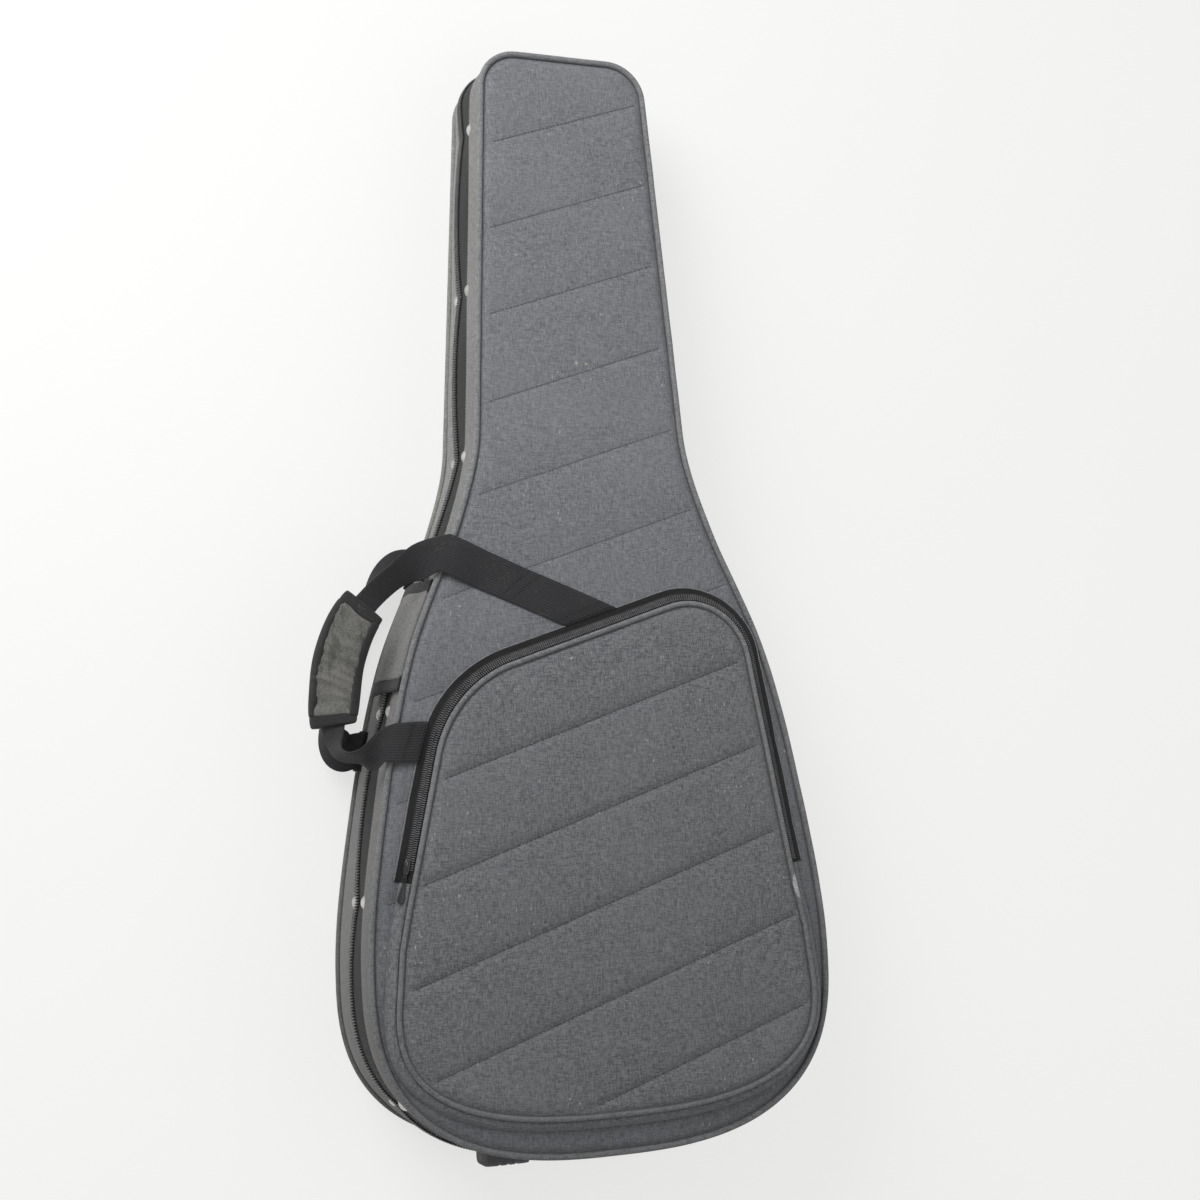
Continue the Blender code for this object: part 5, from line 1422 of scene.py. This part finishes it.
def build_grip(parts, marks):
    """Padded wrap round the middle of the front strap, bound in black at its ends and edges."""
    inner, outer = GRIP_START + GRIP_BINDING, GRIP_START + GRIP_LENGTH - GRIP_BINDING
    c, s = bent(turns(44), *GRIP_POWERS)

    def wrapped(want, profile):
        """Rows of a profile round the middle of the strap's cloth, at lengths along it."""
        points, wide, face = (walked(want, marks, part) for part in parts)
        return ribbon(points + face * WEBBING_THICKNESS / 2, wide, face, profile)

    want = np.linspace(inner - GRIP_TUCK, outer + GRIP_TUCK, 110)
    arch = np.sin(math.pi * (want - want[0]) / (want[-1] - want[0]))[:, None]
    thick = GRIP_THICKNESS / 2 * (0.60 + 0.40 * arch ** 0.45)
    half = GRIP_WIDTH / 2 * (0.94 + 0.06 * arch ** 0.5)
    rows = wrapped(want, np.stack([half * c, thick * s], axis=-1))
    flow = np.stack([want[:, None] + 0.45 * half * c, 0.35 * half * c], axis=-1)
    creases = ripple(flow, 0.036, 5) * 0.8 - np.abs(ripple(flow, 0.024, 9)) * 1.1
    rows += walked(want, marks, parts[2])[:, None] * (s * creases * GRIP_CREASE)[..., None]
    piece("grip_pad_wrap", skin(rows), GRIP_CLOTH, "front_handle", ["grip_pad"])
    arc_c, arc_s = bent(np.radians(np.linspace(-GRIP_EDGE_ARC, GRIP_EDGE_ARC, 13)), *GRIP_POWERS)
    for name, side in (("grip_edge_outer", 1.0), ("grip_edge_inner", -1.0)):
        over = np.stack([side * (half * arc_c + GRIP_EDGE[0]), (thick + GRIP_EDGE[1]) * arc_s], axis=-1)
        under = np.stack([side * half * arc_c * 0.9, thick * 0.8 * arc_s], axis=-1)
        profile = np.concatenate([over, under[:, ::-1]], axis=1)
        piece(name, skin(wrapped(want, profile)), BINDING_TAPE, "front_handle", ())
    swell = (np.sin(math.pi * np.linspace(0, 1, 12)) ** 0.4)[:, None]
    profile = np.stack([GRIP_WIDTH / 2 * (0.92 + 0.05 * swell) * c,
                        GRIP_THICKNESS / 2 * (0.56 + 0.12 * swell) * s], axis=-1)
    for end, low, high in (("upper", GRIP_START, inner + GRIP_END_LAP),
                           ("lower", outer - GRIP_END_LAP, GRIP_START + GRIP_LENGTH)):
        rows = wrapped(np.linspace(low, high, len(swell)), profile)
        piece("grip_end_" + end, skin(rows), BINDING_TAPE, "front_handle", ["grip_binding_" + end])


def build_rear_handle():
    """A loop on the base below the front handle, and the two sewn folds that hold it."""
    ends = []
    c, s = bent(turns(24), 0.55, 0.7)
    fold = np.column_stack([REAR_SEAT + REAR_ANCHOR_FOLD / 2 * (1 + c),
                            REAR_ANCHOR_HEIGHT - REAR_ANCHOR_DEPTH + REAR_ANCHOR_DEPTH / 2 * (1 + s)])
    for name, height in (("upper", UPPER_STRAP_HEIGHT), ("lower", LOWER_STRAP_HEIGHT)):
        end = edge_point(height, REAR_SEAT + REAR_ANCHOR_FOLD - WEBBING_THICKNESS, 0.0)
        end[2] = back_z(end[1]) + REAR_ANCHOR_HEIGHT + WEBBING_THICKNESS
        ends.append(end)
        high, low = (CASE.mark(height + half, -1) for half in (WEBBING_WIDTH / 2, -WEBBING_WIDTH / 2))
        rows = on_slope(carried(CASE, CASE.run(high, low, 0.002), fold))
        piece(f"rear_strap_{name}", skin(rows), BLACK_WEBBING, "base", [f"rear_anchor_{name}"])
    route = [outboard(height, out, -REAR_LOOP_DROP) for height, out in REAR_ROUTE]
    route = [ends[0]] + route + [ends[1]]
    points, wide, face, _ = strap(route, REAR_STEPS, REAR_ROLLS, unit(ends[0] - ends[1]), REAR_END)
    rows = ribbon(points, wide, face, rounded(WEBBING_WIDTH, WEBBING_THICKNESS))
    piece("rear_webbing", skin(rows), BLACK_WEBBING, "rear_handle", ["rear_handle_loop"])


# Guard flap

def guard_profile(crown, grow):
    """Closed section of the flap: sewn under the piping, standing off over the sliders below."""
    line = route_points([(out, 0.0, z) for out, z in GUARD_LINE], 24)[0]
    run = unit(np.gradient(line, axis=0))
    out = np.column_stack([-run[:, 2], run[:, 0]])
    share = np.linspace(0, 1, len(line))
    thick = GUARD_SHEET + crown * np.sin(math.pi * np.clip(share * 0.94 + 0.05, 0, 1)) ** 0.6
    flat = line[:, ::2]
    outer = flat + out * (thick[:, None] + grow)
    inner = flat + out * (GUARD_BACK - grow)
    return np.concatenate([outer, inner[::-1]])


def build_guard_flap():
    low, high = GUARD_LOW + GUARD_BINDING, GUARD_HIGH - GUARD_BINDING
    pad = (GUARD_PAD_CROWN, 0.0, SIDE_CLOTH, "grey_band", 0.7)
    bound = (GUARD_END_CROWN, GUARD_END_GROW, BINDING_TAPE, "black_webbing", None)
    for name, stands_for, first, last, (crown, grow, material, slot, fill) in (
            ("guard_pad", "guard_flap_pad", low - GUARD_LAP, high + GUARD_LAP, pad),
            ("guard_end_lower", "guard_binding_lower", GUARD_LOW, low, bound),
            ("guard_end_upper", "guard_binding_upper", high, GUARD_HIGH, bound)):
        marks = CASE.run(CASE.mark(last, -1), CASE.mark(first, -1), 0.003)
        rows = carried(CASE, marks, guard_profile(crown, grow))
        piece(name, skin(rows), material, "guard_flap", [stands_for])


# Feet and inside fittings

def build_feet():
    """Two grooved rubber feet against the tail, flat where they stand."""
    tail = CASE.points[CASE.points[:, 1] < along_case(0.1)]
    tail = tail[np.argsort(tail[:, 0])]
    flat = along_case(0.0) - BACK_PIPING_SET_OUT - PIPING_RADIUS - CLEARANCE - FOOT_REACH
    c, s = bent(turns(28), 0.4, 0.4)
    for name, side in (("left", -1), ("right", 1)):
        middle = side * FOOT_SPACING / 2
        xs = np.linspace(middle - FOOT_WIDTH / 2, middle + FOOT_WIDTH / 2, FOOT_ROWS)
        seat = np.interp(xs, tail[:, 0], tail[:, 1]) - FOOT_SEAT
        rows = []
        for k, (x, y) in enumerate(zip(xs, seat)):
            taper = 0.86 + 0.14 * math.sin(math.pi * k / (FOOT_ROWS - 1)) ** 0.3
            groove = FOOT_GROOVE if k in FOOT_GROOVES else 0.0
            out = (y - flat) / 2 * (1 + c) * (1 - 0.05 * (1 - taper)) - groove * (c > 0.5)
            z = FOOT_LIFT + FOOT_HEIGHT / 2 + FOOT_HEIGHT / 2 * s * taper
            rows.append(np.column_stack([np.full(len(c), x), y - out, z + back_z(y)]))
        piece(f"rubber_foot_{name}", skin(rows), RUBBER, "base", [f"foot_{name}"],
              sharp=50)


def build_neck_rest():
    """A plush block with a slot for the neck, and the strap across it."""
    y0, y1 = (along_case(CRADLE_ON_CASE + side * CRADLE_LENGTH / 2) for side in (-1, 1))
    half = -left_side(CRADLE_ON_CASE + CRADLE_LENGTH / 2)[0][0] - FOAM_WALL - CRADLE_PLAY
    slot = NECK_SLOT_WIDTH / 2
    x = np.linspace(-half, half, 61)
    valley = NECK_SLOT_DEPTH * (1 - ease((np.abs(x) - slot * 0.72) / (slot * 0.34)))
    shoulder = CRADLE_SHOULDER_DROP * ease((np.abs(x) - half) / CRADLE_SHOULDER + 1) ** 2
    rows = []
    for share in np.linspace(0, 1, 15):
        y = np.full(len(x), y0 + (y1 - y0) * share)
        edge = CRADLE_EDGE_DROP * (1 - min(1.0, 6 * min(share, 1 - share))) ** 2
        low = back_z(y) + TRAY_FLOOR + CLEARANCE
        upper = np.column_stack([x, y, low + CRADLE_HEIGHT - valley - shoulder - edge])
        rows.append(np.concatenate([upper, np.column_stack([x[::-1], y, low])]))
    piece("neck_pillow", skin(rows), PLUSH, "base", ["neck_cradle"])
    ends = half - NECK_STRAP_INSET
    x = np.linspace(-ends, ends, 50)
    y = np.full(len(x), (y0 + y1) / 2)
    lift = NECK_STRAP_LIFT * np.clip(1 - np.abs(x) / ends, 0, 1) ** 0.8
    points = np.column_stack([x, y, back_z(y) + TRAY_FLOOR + CRADLE_HEIGHT + 2 * CLEARANCE + lift])
    rows = ribbon(points, (0.0, 1.0, 0.0), UP, rounded(NECK_STRAP_WIDTH, WEBBING_THICKNESS))
    piece("neck_tie", skin(rows), BLACK_WEBBING, "base", ["neck_strap"])


# Camera, floor and light

def build_camera():
    camera = bpy.data.cameras.new("camera")
    camera.lens = LENS
    camera.sensor_width = SENSOR
    camera.sensor_fit = "HORIZONTAL"
    camera.clip_end = 50.0
    turn = Matrix((CAMERA_RIGHT, [-v for v in CAMERA_DOWN], [-v for v in CAMERA_FORWARD])).transposed()
    holder = added("camera", camera)
    holder.matrix_world = LYING @ Matrix.Translation(CAMERA_PLACE) @ turn.to_4x4()
    bpy.context.scene.camera = holder


def build_stage():
    """A pale paper floor that keeps the shadow and is near white to the eye."""
    mesh = bpy.data.meshes.new("floor")
    corners = ((-1, -1), (1, -1), (1, 1), (-1, 1))
    mesh.from_pydata([(x * FLOOR_REACH, y * FLOOR_REACH, 0) for x, y in corners], [], [(0, 1, 2, 3)])
    paint = Surface("floor_paper", Roughness=0.9, Specular_IOR_Level=0.1)
    tone = paint.ranged(paint.noise(1.2, 2.0), 0.3, 0.7)
    paint.link(paint.mix(tone, *FLOOR_TONES), paint.shader.inputs["Base Color"])
    share = paint.times(paint.seen_directly(), FLOOR_GLOW)
    glow = paint.node("ShaderNodeEmission", {"Color": (1.0, 0.998, 0.985, 1.0), "Strength": 1.0})
    mixed = paint.node("ShaderNodeMixShader",
                       {0: share, 1: paint.shader.outputs[0], 2: glow.outputs[0]})
    paint.link(mixed.outputs[0], paint.tree.nodes["Material Output"].inputs["Surface"])
    mesh.materials.append(paint.material)
    floor = added("floor", mesh)


def build_light():
    world = bpy.data.worlds.new("studio")
    bpy.context.scene.world = world
    world.use_nodes = True
    paint = Paint(world)
    background = paint.tree.nodes["Background"].inputs
    background["Color"].default_value = (1.0, 1.0, 1.0, 1.0)
    extra = paint.times(paint.seen_directly(), WORLD_SEEN - WORLD_LIGHT)
    paint.link(paint.plus(extra, WORLD_LIGHT), background["Strength"])
    for name, (place, size, power) in (("key", KEY), ("fill", FILL)):
        lamp = bpy.data.lights.new(name, "AREA")
        lamp.size = size
        lamp.energy = power
        holder = added(name, lamp)
        holder.location = place
        aim = Vector(LAMP_AIM) - Vector(place)
        holder.rotation_euler = aim.to_track_quat("-Z", "Y").to_euler()


build_camera()
build_stage()
build_light()
build_lid_front()
build_bands()
build_back()
build_trays()
build_main_zip()
build_hinge()
build_rivets()
build_pocket_panel()
build_pocket_wall()
build_pocket_zip()
build_pocket_slider()
build_main_sliders()
build_front_handle()
build_rear_handle()
build_guard_flap()
build_feet()
build_neck_rest()

bpy.context.scene.view_settings.view_transform = "Standard"
bpy.context.view_layer.update()
